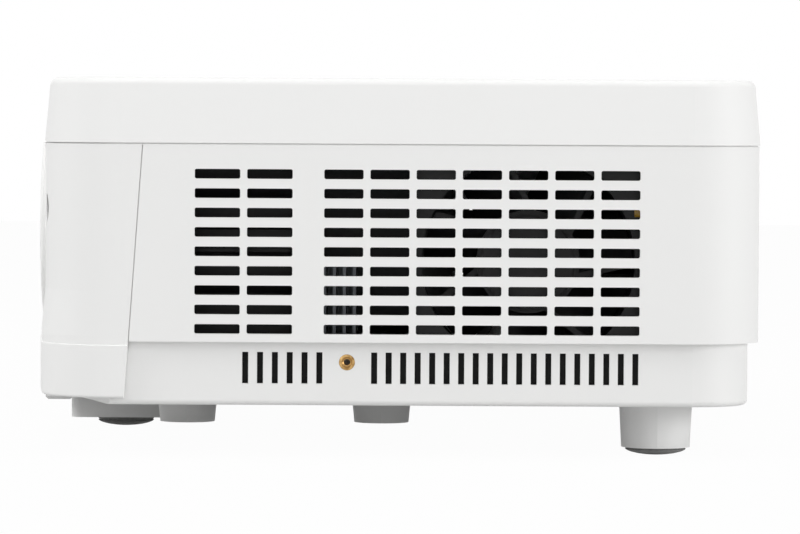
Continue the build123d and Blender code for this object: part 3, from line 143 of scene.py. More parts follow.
def add(tree, kind, values=None, links=None, **settings):
    """Add one shader node with its settings, its inputs' values and the sockets that feed them."""
    made = tree.nodes.new("ShaderNode" + kind)
    for name, value in settings.items():
        setattr(made, name, value)
    for name, value in (values or {}).items():
        made.inputs[name].default_value = value
    for name, source in (links or {}).items():
        tree.links.new(source, made.inputs[name])
    return made


def shade(base, share):
    """A colour made lighter or darker by a share."""
    return [min(1.0, part * share) for part in base[:3]] + [1.0]


class Skin:
    """A new material, to whose shader patterns of 0 to 1 are joined. A number in the place of a pattern
    is the size of a noise. Colours are hex codes or names of the colours above, and lengths are in mm."""

    def __init__(self, name, base, **sockets):
        """Start from one colour and from values of the shader's sockets, named with _ for a space."""
        base = self.tone(base)
        self.made = bpy.data.materials.new(name)
        self.made.use_nodes = True
        self.made.diffuse_color = base
        self.base = base
        self.tree = self.made.node_tree
        self.shader = self.tree.nodes["Principled BSDF"]
        for socket, value in {"Base_Color": base, **sockets}.items():
            self.shader.inputs[socket.replace("_", " ")].default_value = value

    def tone(self, name):
        """A colour by its name or code, or as a share of the base's brightness."""
        if isinstance(name, float):
            return shade(self.base, name)
        return linear(name) if name[0] == "#" else getattr(bpy.context.scene.projector_colours, name)

    def output(self, pattern):
        """The socket of a pattern."""
        return self.noise(pattern) if isinstance(pattern, (int, float)) else pattern

    def place(self, centre=(0.0, 0.0, 0.0), stretch=(1.0, 1.0, 1.0)):
        """Object coordinates from a centre, stretched."""
        place = add(self.tree, "TexCoord").outputs["Object"]
        moved = add(self.tree, "VectorMath", {1: centre}, {0: place}, operation="SUBTRACT").outputs[0]
        return add(self.tree, "Mapping", {"Scale": stretch}, {"Vector": moved}).outputs["Vector"]

    def noise(self, size, detail=2.0, stretch=(1.0, 1.0, 1.0)):
        """Noise whose spots are about size wide."""
        scale = {"Scale": 1 / (size * MM), "Detail": detail}
        return add(self.tree, "TexNoise", scale, {"Vector": self.place(stretch=stretch)}).outputs["Fac"]

    def cells(self, size):
        """Distance in a pattern of cells about size wide."""
        scale = {"Scale": 1 / (size * MM)}
        return add(self.tree, "TexVoronoi", scale, {"Vector": self.place()}).outputs["Distance"]

    def waves(self, pitch, direction):
        """Even waves along an axis."""
        scale = {"Scale": WAVE_PERIOD / (pitch * MM)}
        made = add(self.tree, "TexWave", scale, {"Vector": self.place()}, bands_direction=direction)
        return made.outputs["Fac"]

    def sharpen(self, pattern, low, high):
        """Stretch the part of a pattern between low and high to 0 to 1."""
        limits = {"From Min": low, "From Max": high}
        return add(self.tree, "MapRange", limits, {"Value": pattern}).outputs["Result"]

    def relief(self, pattern, depth):
        """Raise the surface by a pattern."""
        bump = add(self.tree, "Bump", {"Distance": depth * MM}, {"Height": self.output(pattern)})
        self.tree.links.new(bump.outputs["Normal"], self.shader.inputs["Normal"])

    def rough(self, pattern, low, high):
        """Let a pattern move the roughness between low and high."""
        limits = {"To Min": low, "To Max": high}
        spread = add(self.tree, "MapRange", limits, {"Value": self.output(pattern)})
        self.tree.links.new(spread.outputs["Result"], self.shader.inputs["Roughness"])

    def tint(self, pattern, second, first=None):
        """Let a pattern mix the colour out of two, the first of which is mostly the base."""
        tones = {MIX_FIRST: self.tone(first) if first else self.base, MIX_SECOND: self.tone(second)}
        mix = add(self.tree, "Mix", tones, {0: self.output(pattern)}, data_type="RGBA")
        self.tree.links.new(mix.outputs[MIX_RESULT], self.shader.inputs["Base Color"])


def white_abs():
    """White ABS, moulded in a spark-eroded tool."""
    # The tool's erosion leaves a fine even grain that dulls the gloss. The real grain is about 0.1 mm,
    # drawn at 0.45 mm so that it shows.
    skin = Skin("spark_eroded_abs", "casing", Roughness=0.58, IOR=ABS_IOR)
    skin.relief(0.45, depth=0.006)
    skin.rough(14, low=0.54, high=0.62)
    skin.tint(skin.noise(40, detail=3.0), 0.985)
    return skin


def key_grey():
    """Grey ABS of the keys, moulded in a finer tool."""
    # A finer grain than the casing's, worn a little smoother in patches where fingers press.
    skin = Skin("fine_grain_abs", "keys", Roughness=0.4, IOR=ABS_IOR)
    skin.relief(0.3, depth=0.004)
    skin.rough(5, low=0.34, high=0.46)
    skin.tint(8, 0.97)
    return skin


def panel_grey():
    """Steel plate with a baked powder coat."""
    # The powder melts into a soft orange-peel skin, about 1.2 mm from crest to crest.
    skin = Skin("powder_coated_steel", "panel", Roughness=0.55, IOR=RESIN_IOR)
    skin.relief(skin.noise(1.2, detail=1.0), depth=0.03)
    skin.rough(6, low=0.5, high=0.62)
    skin.tint(skin.noise(0.8, detail=0.0), 0.94)
    return skin


def plated_steel():
    """Rolled steel with bright zinc plating."""
    # Rolling leaves faint streaks under the plating, and the plating cools in soft spangles.
    skin = Skin("zinc_plated_steel", "steel", Metallic=1.0, Roughness=0.34)
    streaks = skin.noise(0.5, detail=3.0, stretch=(0.03, 1.0, 1.0))
    skin.relief(streaks, depth=0.004)
    skin.rough(streaks, low=0.26, high=0.42)
    skin.tint(skin.cells(7), 0.9)
    return skin


def black_plastic():
    """Black glass-filled nylon."""
    # Short glass fibres dull the skin and leave it faintly mottled, about 0.6 mm a spot.
    skin = Skin("glass_filled_nylon", "black", Roughness=0.55, IOR=NYLON_IOR)
    skin.relief(0.35, depth=0.006)
    skin.rough(0.6, low=0.48, high=0.64)
    skin.tint(3, 1.25)
    return skin


def silver_paint():
    """Sprayed silver paint with mica flakes."""
    # The flakes are under 0.1 mm and are drawn at 0.4 mm so that they show as a soft sparkle.
    skin = Skin("mica_paint", "surround", Metallic=0.6, Roughness=0.4)
    flakes = skin.cells(0.4)
    skin.tint(flakes, 0.86)
    skin.rough(flakes, low=0.34, high=0.48)
    skin.relief(skin.noise(2, detail=1.0), depth=0.01)
    return skin


def smoked_acrylic():
    """Polished acrylic that is nearly black and passes infrared."""
    # It mirrors the room only faintly on black, with a few soft handling marks in the gloss.
    skin = Skin(
        "smoked_acrylic", "#0E0B0B", Roughness=0.06, IOR=ACRYLIC_IOR, Specular_IOR_Level=0.06
    )
    skin.rough(skin.noise(4, detail=4.0), low=0.04, high=0.1)
    skin.tint(3, "#140F0E")
    skin.relief(skin.noise(3, detail=0.0), depth=0.002)
    return skin


def clear_acrylic():
    """Clear acrylic of the status lights."""
    # The ends are left a little frosted, so the lamps behind spread in them.
    skin = Skin(
        "frosted_acrylic", "#E6ECE8", Roughness=0.22, IOR=ACRYLIC_IOR, Transmission_Weight=0.7
    )
    skin.rough(0.5, low=0.16, high=0.32)
    skin.relief(0.4, depth=0.01)
    skin.tint(2, "#D5DED8")
    return skin


def brass():
    """Brass turned on a lathe."""
    # Tool marks and a light tarnish, spots about 1 mm wide.
    skin = Skin("turned_brass", "brass", Metallic=1.0, Roughness=0.3)
    skin.relief(0.3, depth=0.006)
    tarnish = skin.sharpen(skin.noise(1.1, detail=3.0), low=0.4, high=0.75)
    skin.tint(tarnish, "#8E6A3C")
    skin.rough(tarnish, low=0.26, high=0.5)
    return skin


def coated_glass():
    """Optical glass with an anti-reflection coating."""
    # The coating is thinner than a wave of light, which turns what little is mirrored purple and green.
    skin = Skin(
        "coated_optical_glass", "#F4F6FA", Roughness=0.02, IOR=GLASS_IOR,
        Transmission_Weight=1.0, Thin_Film_Thickness=420.0, Thin_Film_IOR=1.9
    )
    skin.rough(skin.noise(6, detail=4.0), low=0.01, high=0.04)
    skin.tint(9, "#E8ECF6")
    return skin


def reflector_glass():
    """Pressed glass of the lamp's reflector, coated to pass heat."""
    # The coating mirrors white light and shows a cold blue and straw cast in bands across the bowl.
    skin = Skin("dichroic_pressed_glass", "#B9C0C8", Metallic=0.85, Roughness=0.16)
    skin.tint(skin.noise(14, detail=1.0), "#D3CBB4", "#AEBFD2")
    skin.rough(4, low=0.1, high=0.24)
    skin.relief(skin.noise(2.5, detail=1.0), depth=0.02)
    return skin


def black_cast_metal():
    """Die-cast magnesium with a black electrocoat."""
    # The die's sand-like skin shows through the thin coat as a coarse grain, drawn at 0.9 mm.
    skin = Skin("electrocoated_casting", "#262728", Roughness=0.6, IOR=RESIN_IOR)
    grain = skin.noise(0.9, detail=4.0)
    skin.relief(grain, depth=0.05)
    skin.rough(grain, low=0.48, high=0.7)
    skin.tint(5, "#333435")
    return skin


def aluminium():
    """Aluminium extruded and anodised dark."""
    # The die draws long fine lines along each fin, drawn 0.5 mm apart.
    skin = Skin("anodised_extrusion", "#7D8084", Metallic=1.0, Roughness=0.42)
    lines = skin.noise(0.5, detail=3.0, stretch=(1.0, 1.0, 0.04))
    skin.relief(lines, depth=0.006)
    skin.rough(lines, low=0.34, high=0.52)
    skin.tint(lines, "#696C70")
    return skin


def circuit_board():
    """Printed circuit board under green solder resist."""
    # Tracks 0.3 mm wide stand under the glossy resist as lighter lines, drawn 1.6 mm apart.
    skin = Skin("solder_resist", "board", Roughness=0.3, IOR=RESIN_IOR)
    across, along = (skin.sharpen(skin.waves(1.6, axis), low=0.86, high=0.92) for axis in "XY")
    regions = skin.sharpen(skin.noise(13, detail=0.0), low=0.49, high=0.51)
    tracks = add(skin.tree, "Mix", {}, {0: regions, 2: across, 3: along}, data_type="FLOAT").outputs[0]
    skin.tint(tracks, 1.8)
    skin.relief(tracks, depth=0.03)
    skin.rough(3, low=0.24, high=0.38)
    return skin


def component_black():
    """Black epoxy round chips and other components."""
    # Matt and slightly grey, with the fine pits that the mould's release film leaves.
    skin = Skin("moulded_epoxy", "#26272A", Roughness=0.62, IOR=EPOXY_IOR)
    pits = skin.cells(0.5)
    skin.relief(pits, depth=0.01)
    skin.tint(2, "#303134")
    skin.rough(pits, low=0.54, high=0.7)
    return skin


def component_yellow():
    """Yellow polyester tape round windings."""
    # The film is glossy and is wound in laps about 5 mm wide, a little wrinkled.
    skin = Skin("polyester_tape", "tape", Roughness=0.28, IOR=POLYESTER_IOR)
    skin.tint(skin.waves(5, "Z"), 0.8)
    skin.relief(skin.noise(1.5, detail=3.0), depth=0.05)
    skin.rough(2.5, low=0.2, high=0.4)
    return skin


def rubber():
    """Grey thermoplastic rubber of the feet."""
    # A soft matt skin that picks up pale dust, in spots about 1.5 mm wide.
    skin = Skin("moulded_rubber", "rubber", Roughness=0.85, IOR=RUBBER_IOR)
    skin.relief(0.4, depth=0.02)
    dust = skin.sharpen(skin.noise(1.5, detail=4.0), low=0.45, high=0.9)
    skin.tint(dust, 1.35)
    skin.rough(dust, low=0.8, high=0.95)
    return skin


SEGMENTS = ((0.3, "#2E8B45"), (0.6, "#2B4FA8"), (0.88, "#D6D9DC"))  # share of a turn and colour


def filter_glass():
    """Glass of the colour wheel, coated in red, green, blue and clear segments."""
    # Each segment mirrors the colours that it doesn't pass, so it looks like tinted foil.
    skin = Skin("dichroic_filter", "#C8CCD2", Metallic=0.5, Roughness=0.12)
    parts = add(skin.tree, "SeparateXYZ", {}, {0: skin.place(span("colour_wheel")[2])}).outputs
    angle = add(skin.tree, "Math", {}, {0: parts["Z"], 1: parts["X"]}, operation="ARCTAN2").outputs[0]
    ramp = add(skin.tree, "ValToRGB", {}, {"Fac": skin.sharpen(angle, low=-math.pi, high=math.pi)})
    colours = ramp.color_ramp
    colours.interpolation = "CONSTANT"
    colours.elements[0].color = linear("#B8322C")
    for position, code in SEGMENTS:
        colours.elements.new(position).color = linear(code)
    colours.elements.remove(colours.elements[-1])
    skin.tree.links.new(ramp.outputs["Color"], skin.shader.inputs["Base Color"])
    skin.rough(3, low=0.08, high=0.18)
    return skin


FINISHES = (
    white_abs, key_grey, panel_grey, plated_steel, black_plastic, silver_paint, smoked_acrylic,
    clear_acrylic, brass, coated_glass, reflector_glass, black_cast_metal, aluminium, circuit_board,
    component_black, component_yellow, rubber, filter_glass,
)
made_finishes = {}


def finish(slot):
    """The material of one finish, made when it is first asked for."""
    if slot not in made_finishes:
        made_finishes[slot] = {make.__name__: make for make in FINISHES}[slot]().made
    return made_finishes[slot]


OTHER_TONE = 0.93  # second tone of a finish in another colour


def coloured(slot, name, base):
    """A finish of the same make in another colour."""
    made = finish(slot).copy()
    made.name = name
    made.diffuse_color = base
    mix = made.node_tree.nodes["Principled BSDF"].inputs["Base Color"].links[0].from_node
    mix.inputs[MIX_FIRST].default_value = base
    mix.inputs[MIX_SECOND].default_value = shade(base, OTHER_TONE)
    return made


# ---- shapes ----

TURN_STEPS = 72  # facets of a full turn of the larger rounds
CAP_STEPS = 48  # of the fans' caps and the inserts
SMALL_STEPS = 32  # of the small rounds
TINY_STEPS = 24  # and of the screws' heads
SHARP = math.radians(32)  # edges sharper than this stay crisp
WELD = 0.001 * MM  # corners closer than this are one
TO_X = Matrix.Rotation(math.pi / 2, 4, "Y")  # turn what points up towards +X
TO_Y = Matrix.Rotation(-math.pi / 2, 4, "X")  # or towards +Y
TO_DOWN = Matrix.Rotation(math.pi, 4, "X")  # or down
THREAD_SHARE = 0.9  # part of a turn's height that its ridge fills
THREAD_ROOT = 0.3  # part of a ridge's height that is sunk in its core
THREAD_FLAT = (0.4, 0.6)  # its crest, in shares of its width
WIRE_ORDER = 3  # of a wire's smooth line
WIRE_ROUND = 3  # facets of a quarter of a wire, less one


def span(node):
    """The low corner, the high corner and the middle of a node's box."""
    low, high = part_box(node)
    return low, high, (low + high) / 2


def at(x, y, z, turn=Matrix.Identity(4)):
    """The place of a small mesh, turned first and then moved."""
    return Matrix.Translation((x, y, z)) @ turn


def corners_of(items):
    """The corners among what an operator made."""
    return [item for item in items if isinstance(item, bmesh.types.BMVert)]


def gather(whole, part, place):
    """Add a small mesh to a larger one in its place."""
    bmesh.ops.remove_doubles(part, verts=part.verts, dist=WELD)
    bmesh.ops.recalc_face_normals(part, faces=part.faces)
    part.transform(place)
    held = bpy.data.meshes.new("part")
    part.to_mesh(held)
    part.free()
    whole.from_mesh(held)
    bpy.data.meshes.remove(held)


def settle(mesh, name, body, slot, material=None, replaced=()):
    """Make an object of a mesh, with its finish, that rides on a body and may stand for nodes."""
    data = bpy.data.meshes.new(name)
    mesh.to_mesh(data)
    mesh.free()
    data.materials.append(material or finish(slot))
    data.shade_smooth()
    data.set_sharp_from_angle(angle=SHARP)
    piece = bpy.data.objects.new(name, data)
    bpy.context.scene.collection.objects.link(piece)
    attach(piece, body)
    if replaced:
        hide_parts(*replaced)


def put(parts, name, body, slot, material=None, replaced=()):
    """Make an object of small meshes, each with its place."""
    whole = bmesh.new()
    for part, place in parts:
        gather(whole, part, place)
    settle(whole, name, body, slot, material, replaced)


def about_z(mesh, steps, angle=math.tau, **settings):
    """Spin the whole of a mesh about Z."""
    parts = mesh.verts[:] + mesh.edges[:] + mesh.faces[:]
    bmesh.ops.spin(mesh, geom=parts, cent=(0, 0, 0), axis=(0, 0, 1), angle=angle, steps=steps, **settings)
    return mesh


def turned(profile, steps=TURN_STEPS):
    """A shape turned about Z from a profile of (radius, height) points, open if it starts on the axis."""
    mesh = bmesh.new()
    points = [mesh.verts.new((radius, 0, height)) for radius, height in profile]
    ring = points + points[:1] if profile[0][0] else points
    for pair in zip(ring, ring[1:]):
        mesh.edges.new(pair)
    return about_z(mesh, steps, use_merge=True)


def rounded_box(size, edge, segments=2):
    """A block of a size with rounded edges."""
    mesh = bmesh.new()
    bmesh.ops.create_cube(mesh, size=1.0)
    bmesh.ops.scale(mesh, vec=size, verts=mesh.verts)
    bmesh.ops.bevel(
        mesh, geom=mesh.edges[:], offset=edge, segments=segments, profile=0.5, affect="EDGES", material=-1
    )
    return mesh


def flat_sign(points, height):
    """A flat sign with an outline, of an even thickness."""
    mesh = bmesh.new()
    face = mesh.faces.new([mesh.verts.new((x, y, 0)) for x, y in points])
    made = bmesh.ops.extrude_face_region(mesh, geom=[face])
    bmesh.ops.translate(mesh, vec=(0, 0, height), verts=corners_of(made["geom"]))
    return mesh


def bent_bar(radius, width, height, angle, start=0):
    """A flat bar bent round Z by an angle in degrees, with its ends closed."""
    mesh = bmesh.new()
    low, high = radius - width / 2, radius + width / 2
    section = ((low, 0, 0), (high, 0, 0), (high, 0, height), (low, 0, height))
    mesh.faces.new([mesh.verts.new(place) for place in section])
    about_z(mesh, SMALL_STEPS, math.radians(angle))
    mesh.transform(Matrix.Rotation(math.radians(start), 4, "Z"))
    return mesh


def thread(core, crest, pitch, turns, share=THREAD_SHARE):
    """A screw's ridge, a helix about Z that fills a share of each turn's height."""
    mesh = bmesh.new()
    root = core + (core - crest) * THREAD_ROOT
    wide = pitch * share
    section = [(root, 0), *((crest, wide * part) for part in THREAD_FLAT), (root, wide)]
    mesh.faces.new([mesh.verts.new((radius, 0, height)) for radius, height in section])
    steps = round(turns * SMALL_STEPS)
    return about_z(mesh, steps, math.tau * turns, dvec=(0, 0, pitch * turns / steps))


def round_about(mesh, count):
    """Repeat a mesh evenly round Z."""
    return about_z(mesh, count - 1, math.tau * (count - 1) / count, use_duplicate=True)


def tube(points, width, name):
    """The mesh of a round wire along a smooth line."""
    line = bpy.data.curves.new(name, "CURVE")
    line.dimensions = "3D"
    spline = line.splines.new("NURBS")
    spline.points.add(len(points) - 1)
    for point, place in zip(spline.points, points):
        point.co = (*place, 1.0)
    spline.order_u = WIRE_ORDER
    spline.use_endpoint_u = True
    line.bevel_depth = width / 2
    line.bevel_resolution = WIRE_ROUND
    line.use_fill_caps = True
    holder = bpy.data.objects.new(name, line)
    data = bpy.data.meshes.new_from_object(holder)
    mesh = bmesh.new()
    mesh.from_mesh(data)
    bpy.data.objects.remove(holder)
    bpy.data.curves.remove(line)
    bpy.data.meshes.remove(data)
    return mesh


def mesh_of(node):
    """A copy of a node's mesh, with its corners joined."""
    mesh = bmesh.new()
    mesh.from_mesh(nodes[node].data)
    bmesh.ops.remove_doubles(mesh, verts=mesh.verts, dist=WELD)
    return mesh


def linked(start, allowed):
    """The edges, out of those allowed, that lead on from a corner."""
    found, front = set(), [start]
    while front:
        corner = front.pop()
        for edge in corner.link_edges:
            if edge in allowed and edge not in found:
                found.add(edge)
                front.append(edge.other_vert(corner))
    return found


# ---- pieces ----

class ProjectorFinishes(bpy.types.Operator):
    """Give each node of the frame its finish"""

    bl_idname = "projector.finishes"
    bl_label = "Finishes"

    def execute(self, context):
        for row in frame["record"]["subparts"]:
            data = nodes[row["node"]].data
            data.materials.clear()
            data.materials.append(finish(row["material_slot"]))
        return {"FINISHED"}


RIB_WIDTH = 1.3 * MM
RIB_ROUND = 0.3 * MM
RIB_SUNK = 0.5 * MM  # root of a rib inside its ring
RIB_END = 1.0 * MM  # plain edge of a ring beside its ribs
FOCUS_GRIP = 15 * MM  # part of the focus ring that has ribs
STOP_STEPS = 6  # steps of the retaining ring
STOP_INNER = 18.7 * MM
STOP_OUTER = 23.2 * MM
STOP_SEAT = 0.2 * MM  # how far the ring is let into the focus ring
STOP_RISE = (-0.45 * MM, -0.09 * MM)  # tip and foot of a step
STOP_SLOPE = -0.05 * MM  # from step to step


class ProjectorLens(bpy.types.Operator):
    """Make the ribs of the focus and zoom rings and the retaining ring of the front glass"""

    bl_idname = "projector.lens"
    bl_label = "Lens"

    def execute(self, context):
        low, high, centre = span("focus_ring")
        self.ribs("focus", high.y - FOCUS_GRIP, high.y)
        zoom_low, zoom_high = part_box("zoom_ring")
        self.ribs("zoom", zoom_low.y, zoom_high.y)
        # The retaining ring has fine steps that keep stray light out of the lens.
        width = (STOP_OUTER - STOP_INNER) / STOP_STEPS
        profile = [(STOP_OUTER, STOP_SEAT), (STOP_INNER, STOP_SEAT)]
        tip, foot = STOP_RISE
        for step in range(STOP_STEPS):
            start, slope = STOP_INNER + step * width, step * STOP_SLOPE
            profile += [(start, tip + slope), (start + width / 2, foot + slope)]
        profile.append((STOP_OUTER, tip + STOP_STEPS * STOP_SLOPE))
        place = at(centre.x, low.y, centre.z, TO_Y)
        put([(turned(profile), place)], "retaining_ring", "focus_ring", "black_plastic")
        return {"FINISHED"}

    def ribs(self, name, front, back):
        """Rounded ribs along a ring that turns about the lens's axis."""
        sizes = bpy.context.scene.projector_sizes
        low, high, centre = span(name + "_ring")
        radius = (high.x - low.x) / 2
        reach = back - front - 2 * RIB_END
        rib = rounded_box((sizes.rib_height + RIB_SUNK, RIB_WIDTH, reach), RIB_ROUND)
        rib.transform(Matrix.Translation((radius + (sizes.rib_height - RIB_SUNK) / 2, 0, 0)))
        place = at(centre.x, (front + back) / 2, centre.z, TO_Y)
        parts = [(round_about(rib, sizes.rib_count), place)]
        put(parts, name + "_ribs", name + "_ring", "black_plastic")


LINE = 0.5 * MM  # width of a sign's lines
SIGN_SUNK = 0.01 * MM  # ink in the key's face
CHEVRON = mm((0, 0.75), (1.5, -0.75), (2.12, -0.75), (0, 1.37), (-2.12, -0.75), (-1.5, -0.75))
ARROW_TIP = mm((0, 0.95), (-1.1, 0), (0, -0.95))
ARROW_KEYS = ("up_key", "left_key", "down_key", "right_key")


def bar(width, depth):
    """Outline of an upright rectangle about its middle."""
    x, y = width / 2, depth / 2
    return [(-x, -y), (x, -y), (x, y), (-x, y)]


class ProjectorKeys(bpy.types.Operator):
    """Print the signs on the keys"""

    bl_idname = "projector.keys"
    bl_label = "Keys"

    def execute(self, context):
        height = context.scene.projector_sizes.mark_height
        ink = coloured("key_grey", "pad_printed_ink", context.scene.projector_colours.marks)
        for turn, node in enumerate(ARROW_KEYS):
            strokes = [(flat_sign(CHEVRON, height), 0, 0)]
            self.sign(node, ink, strokes, Matrix.Rotation(math.pi / 2 * turn, 4, "Z"))
        self.sign("enter_key", ink, [(bent_bar(1.7 * MM, LINE, height, angle=359.9), 0, 0)])
        line = bar(3.6 * MM, LINE)
        self.sign("menu_key", ink, [(flat_sign(line, height), 0, row * MM) for row in (-1.4, 0, 1.4)])
        # An arrow into an open ring, and a ring with a bar in its gap.
        self.sign("source_key", ink, [
            (bent_bar(1.9 * MM, LINE, height, angle=230, start=65), 0.4 * MM, 0),
            (flat_sign(bar(2.6 * MM, LINE), height), 0.9 * MM, 0),
            (flat_sign(ARROW_TIP, height), 0.2 * MM, 0),
        ])
        self.sign("power_key", ink, [
            (bent_bar(2.3 * MM, 0.6 * MM, height, angle=304, start=118), 0, 0),
            (flat_sign(bar(0.6 * MM, 2.3 * MM), height), 0, 1.9 * MM),
        ])
        return {"FINISHED"}

    def sign(self, node, ink, strokes, turn=Matrix.Identity(4)):
        """Lay a sign's strokes, each with its shift, on a key, which they move with."""
        high, centre = span(node)[1:]
        place = at(centre.x, centre.y, high.z - SIGN_SUNK, turn)
        parts = [(stroke, place @ at(x, y, 0)) for stroke, x, y in strokes]
        put(parts, node + "_sign", node, "key_grey", ink)


PAD_DOME = 1.9 * MM  # height of the domed sole
PAD_ROUND = 0.62  # its half section: 0.5 is half an ellipse and 1 is a parabola
PAD_STEPS = 32
PAD_GROOVES = (6, 7, 11, 12, 16, 17)  # steps that lie in its grooves
PAD_GROOVE_DEPTH = 0.2 * MM
PAD_LAP = 0.1 * MM  # how far the sole goes up into the cup
CUP_BORE = 2.6 * MM
CUP_MOUTH = 3.6 * MM
CUP_SEAM = 0.35 * MM  # groove between the cup and the sole
CUP_FOOT = mm((0.35, 0), (0.35, 0.3), (0.15, 0.3), (0, 0.45))  # inside the rim and above the dome
CUP_TOP = mm((0, 1.1), (0.3, 0.5), (1.0, 0))  # inside the rim and below the top
SPIGOT = mm((0, 0), (2.3, 0), (2.45, 0.2), (2.45, 2.4))  # plain foot of the screw
THREAD_START = 3.0 * MM
THREAD_HEIGHT = 0.62 * MM
THREAD_EASE = 0.03 * MM  # ridge inside the screw's own box
THREAD_END = 1.2 * MM  # plain end above the thread
SCREW_CHAMFER = 0.6 * MM


class ProjectorFeet(bpy.types.Operator):
    """Make the feet's threaded screws and their pads, with domed and grooved soles"""

    bl_idname = "projector.feet"
    bl_label = "Feet"

    def execute(self, context):
        pitch = context.scene.projector_sizes.foot_pitch
        for foot in ("front_foot", "near_foot", "far_foot"):
            pad = foot + "_pad"
            low, high, centre = span(pad)
            radius = (high.x - low.x) / 2
            top = high.z - low.z
            cup = [(CUP_BORE, PAD_DOME)]
            cup += [(radius - inset, PAD_DOME + rise) for inset, rise in CUP_FOOT]
            cup += [(radius - inset, top - drop) for inset, drop in CUP_TOP]
            cup += [(CUP_MOUTH, top), (CUP_BORE, top)]
            place = at(centre.x, centre.y, low.z)
            put([(turned(cup), place)], pad + "_cup", pad, "rubber", None, [pad])
            put([(turned(self.sole(radius)), place)], pad + "_sole", pad, "rubber")
            self.screw(foot, pitch)
        return {"FINISHED"}

    def sole(self, radius):
        """Half section of a domed sole with shallow grooves round it."""
        points = [(0, PAD_DOME + PAD_LAP)]
        for step in range(PAD_STEPS + 1):
            share = math.sin(step / PAD_STEPS * math.pi / 2)
            groove = PAD_GROOVE_DEPTH if step in PAD_GROOVES else 0.0
            points.append((radius * share, PAD_DOME * (1 - (1 - share * share) ** PAD_ROUND) + groove))
        return points + [(radius - CUP_SEAM, PAD_DOME + PAD_LAP)]

    def screw(self, foot, pitch):
        """A screw with a plain spigot at its foot and a thread above it."""
        low, high, centre = span(foot + "_screw")
        crest = (high.x - low.x) / 2
        core = crest - THREAD_HEIGHT
        top = high.z - low.z
        shank = SPIGOT + [
            (core, THREAD_START), (core, top - SCREW_CHAMFER), (core - SCREW_CHAMFER, top), (0, top)
        ]
        turns = (top - THREAD_START - THREAD_END) / pitch - THREAD_SHARE
        parts = [
            (turned(shank, SMALL_STEPS), at(centre.x, centre.y, low.z)),
            (thread(core, crest - THREAD_EASE, pitch, turns), at(centre.x, centre.y, low.z + THREAD_START)),
        ]
        put(parts, foot + "_thread", foot + "_screw", "plated_steel", None, [foot + "_screw"])


SIDE_LOW = 25 * MM  # the side's insert lies above this height and the bosses' below
SIDE_BORE = 1.25 * MM  # radius at the thread's core of the M3 insert in the side
BOSS_BORE = 1.65 * MM  # and of the M4 inserts in the bosses, whose pitch is coarser
BOSS_PITCH = 1.4  # in pitches of the side's insert
INSERT_SINK = 0.45 * MM  # countersink
INSERT_LIP = 0.12 * MM  # rounding of the outer edge
RIDGE = 0.22 * MM  # height of an inside thread
RIDGE_LAP = 0.02 * MM  # its root in the wall


class ProjectorInserts(bpy.types.Operator):
    """Make the brass inserts with their countersinks and threads"""

    bl_idname = "projector.inserts"
    bl_label = "Threaded inserts"

    def execute(self, context):
        pitch = context.scene.projector_sizes.insert_pitch
        mesh = mesh_of("thread_inserts")
        boxes = []
        loose = set(mesh.edges)
        while loose:
            ring = linked(next(iter(loose)).verts[0], loose)
            loose -= ring
            places = list(zip(*(corner.co for edge in ring for corner in edge.verts)))
            boxes.append(([min(values) for values in places], [max(values) for values in places]))
        mesh.free()
        parts = []
        for lows, highs in sorted(boxes):
            sizes = [high - low for low, high in zip(lows, highs)]
            x, y, z = ((low + high) / 2 for low, high in zip(lows, highs))
            if z > SIDE_LOW:
                place = at(highs[0], y, z, TO_X @ TO_DOWN)
                parts += self.insert(sizes[1] / 2, SIDE_BORE, sizes[0], pitch, place)
            else:
                place = at(x, y, lows[2])
                parts += self.insert(sizes[0] / 2, BOSS_BORE, sizes[2], pitch * BOSS_PITCH, place)
        put(parts, "brass_inserts", "casing", "brass", None, ["thread_inserts"])
        return {"FINISHED"}

    def insert(self, radius, bore, reach, pitch, place):
        """A ring with a rounded lip and a countersunk bore, its face at height 0, and its thread."""
        profile = [
            (bore + INSERT_SINK, 0), (radius - 2 * INSERT_LIP, 0), (radius - INSERT_LIP / 2, INSERT_LIP / 2),
            (radius, 2 * INSERT_LIP), (radius, reach), (bore, reach), (bore, INSERT_SINK)
        ]
        turns = (reach - INSERT_SINK) / pitch - 2
        ridge = thread(bore + RIDGE_LAP, bore - RIDGE, pitch, turns)
        return [(turned(profile, CAP_STEPS), place), (ridge, place @ at(0, 0, INSERT_SINK))]


SOCKET_Z = 54 * MM
SOCKET_FACE = 109.7 * MM  # sunk face of the socket panel
SOCKET_REACH = 4.55 * MM
WIDE_SOCKETS = (-42 * MM, -8 * MM)
WIDE_BLOCK = (15.4 * MM, SOCKET_REACH, 6.8 * MM)
WIDE_PITCH = 2.4 * MM  # between the contacts of a row
WIDE_SHIFT = 0.25  # of the rows to either side of their middle, in pitches
WIDE_ROWS = 1.9 * MM  # between the rows
CONTACT_STEPS = 12
CONTACT_RIM = mm((0.3, 0), (0.62, 0), (0.62, 0.12), (0.3, 0.12))
TONGUE_SOCKETS = mm((-88, 11, 10), (-68, 15, 5.6))  # place, width and height
TONGUE_HALF = 1 / 8  # half a tongue's thickness, in heights of its socket
TONGUE_SHARE = 0.55  # of the width that has contacts
TONGUE_PITCH = 0.95 * MM
TONGUE_OUT = 2.4 * MM  # middle of a contact in front of the panel
TONGUE_SPRING = (0.45 * MM, 3.4 * MM, 0.12 * MM)
JACK_XS = (12.5 * MM, 24.5 * MM, 36.5 * MM)
JACK_ZS = (54 * MM, 67 * MM)
JACK_COLOURS = (("yellow", "#D9B21F"), ("white", "#E6E6E2"), ("red", "#B32A25"))
COLLAR = mm((2.3, -0.06), (3.95, -0.06), (3.95, 0.06), (3.6, 0.29), (2.6, 0.29), (2.3, 0.14))
JACK_SPRING = mm((1.35, -2.9), (1.75, -2.9), (1.75, -0.5), (1.35, -0.5))
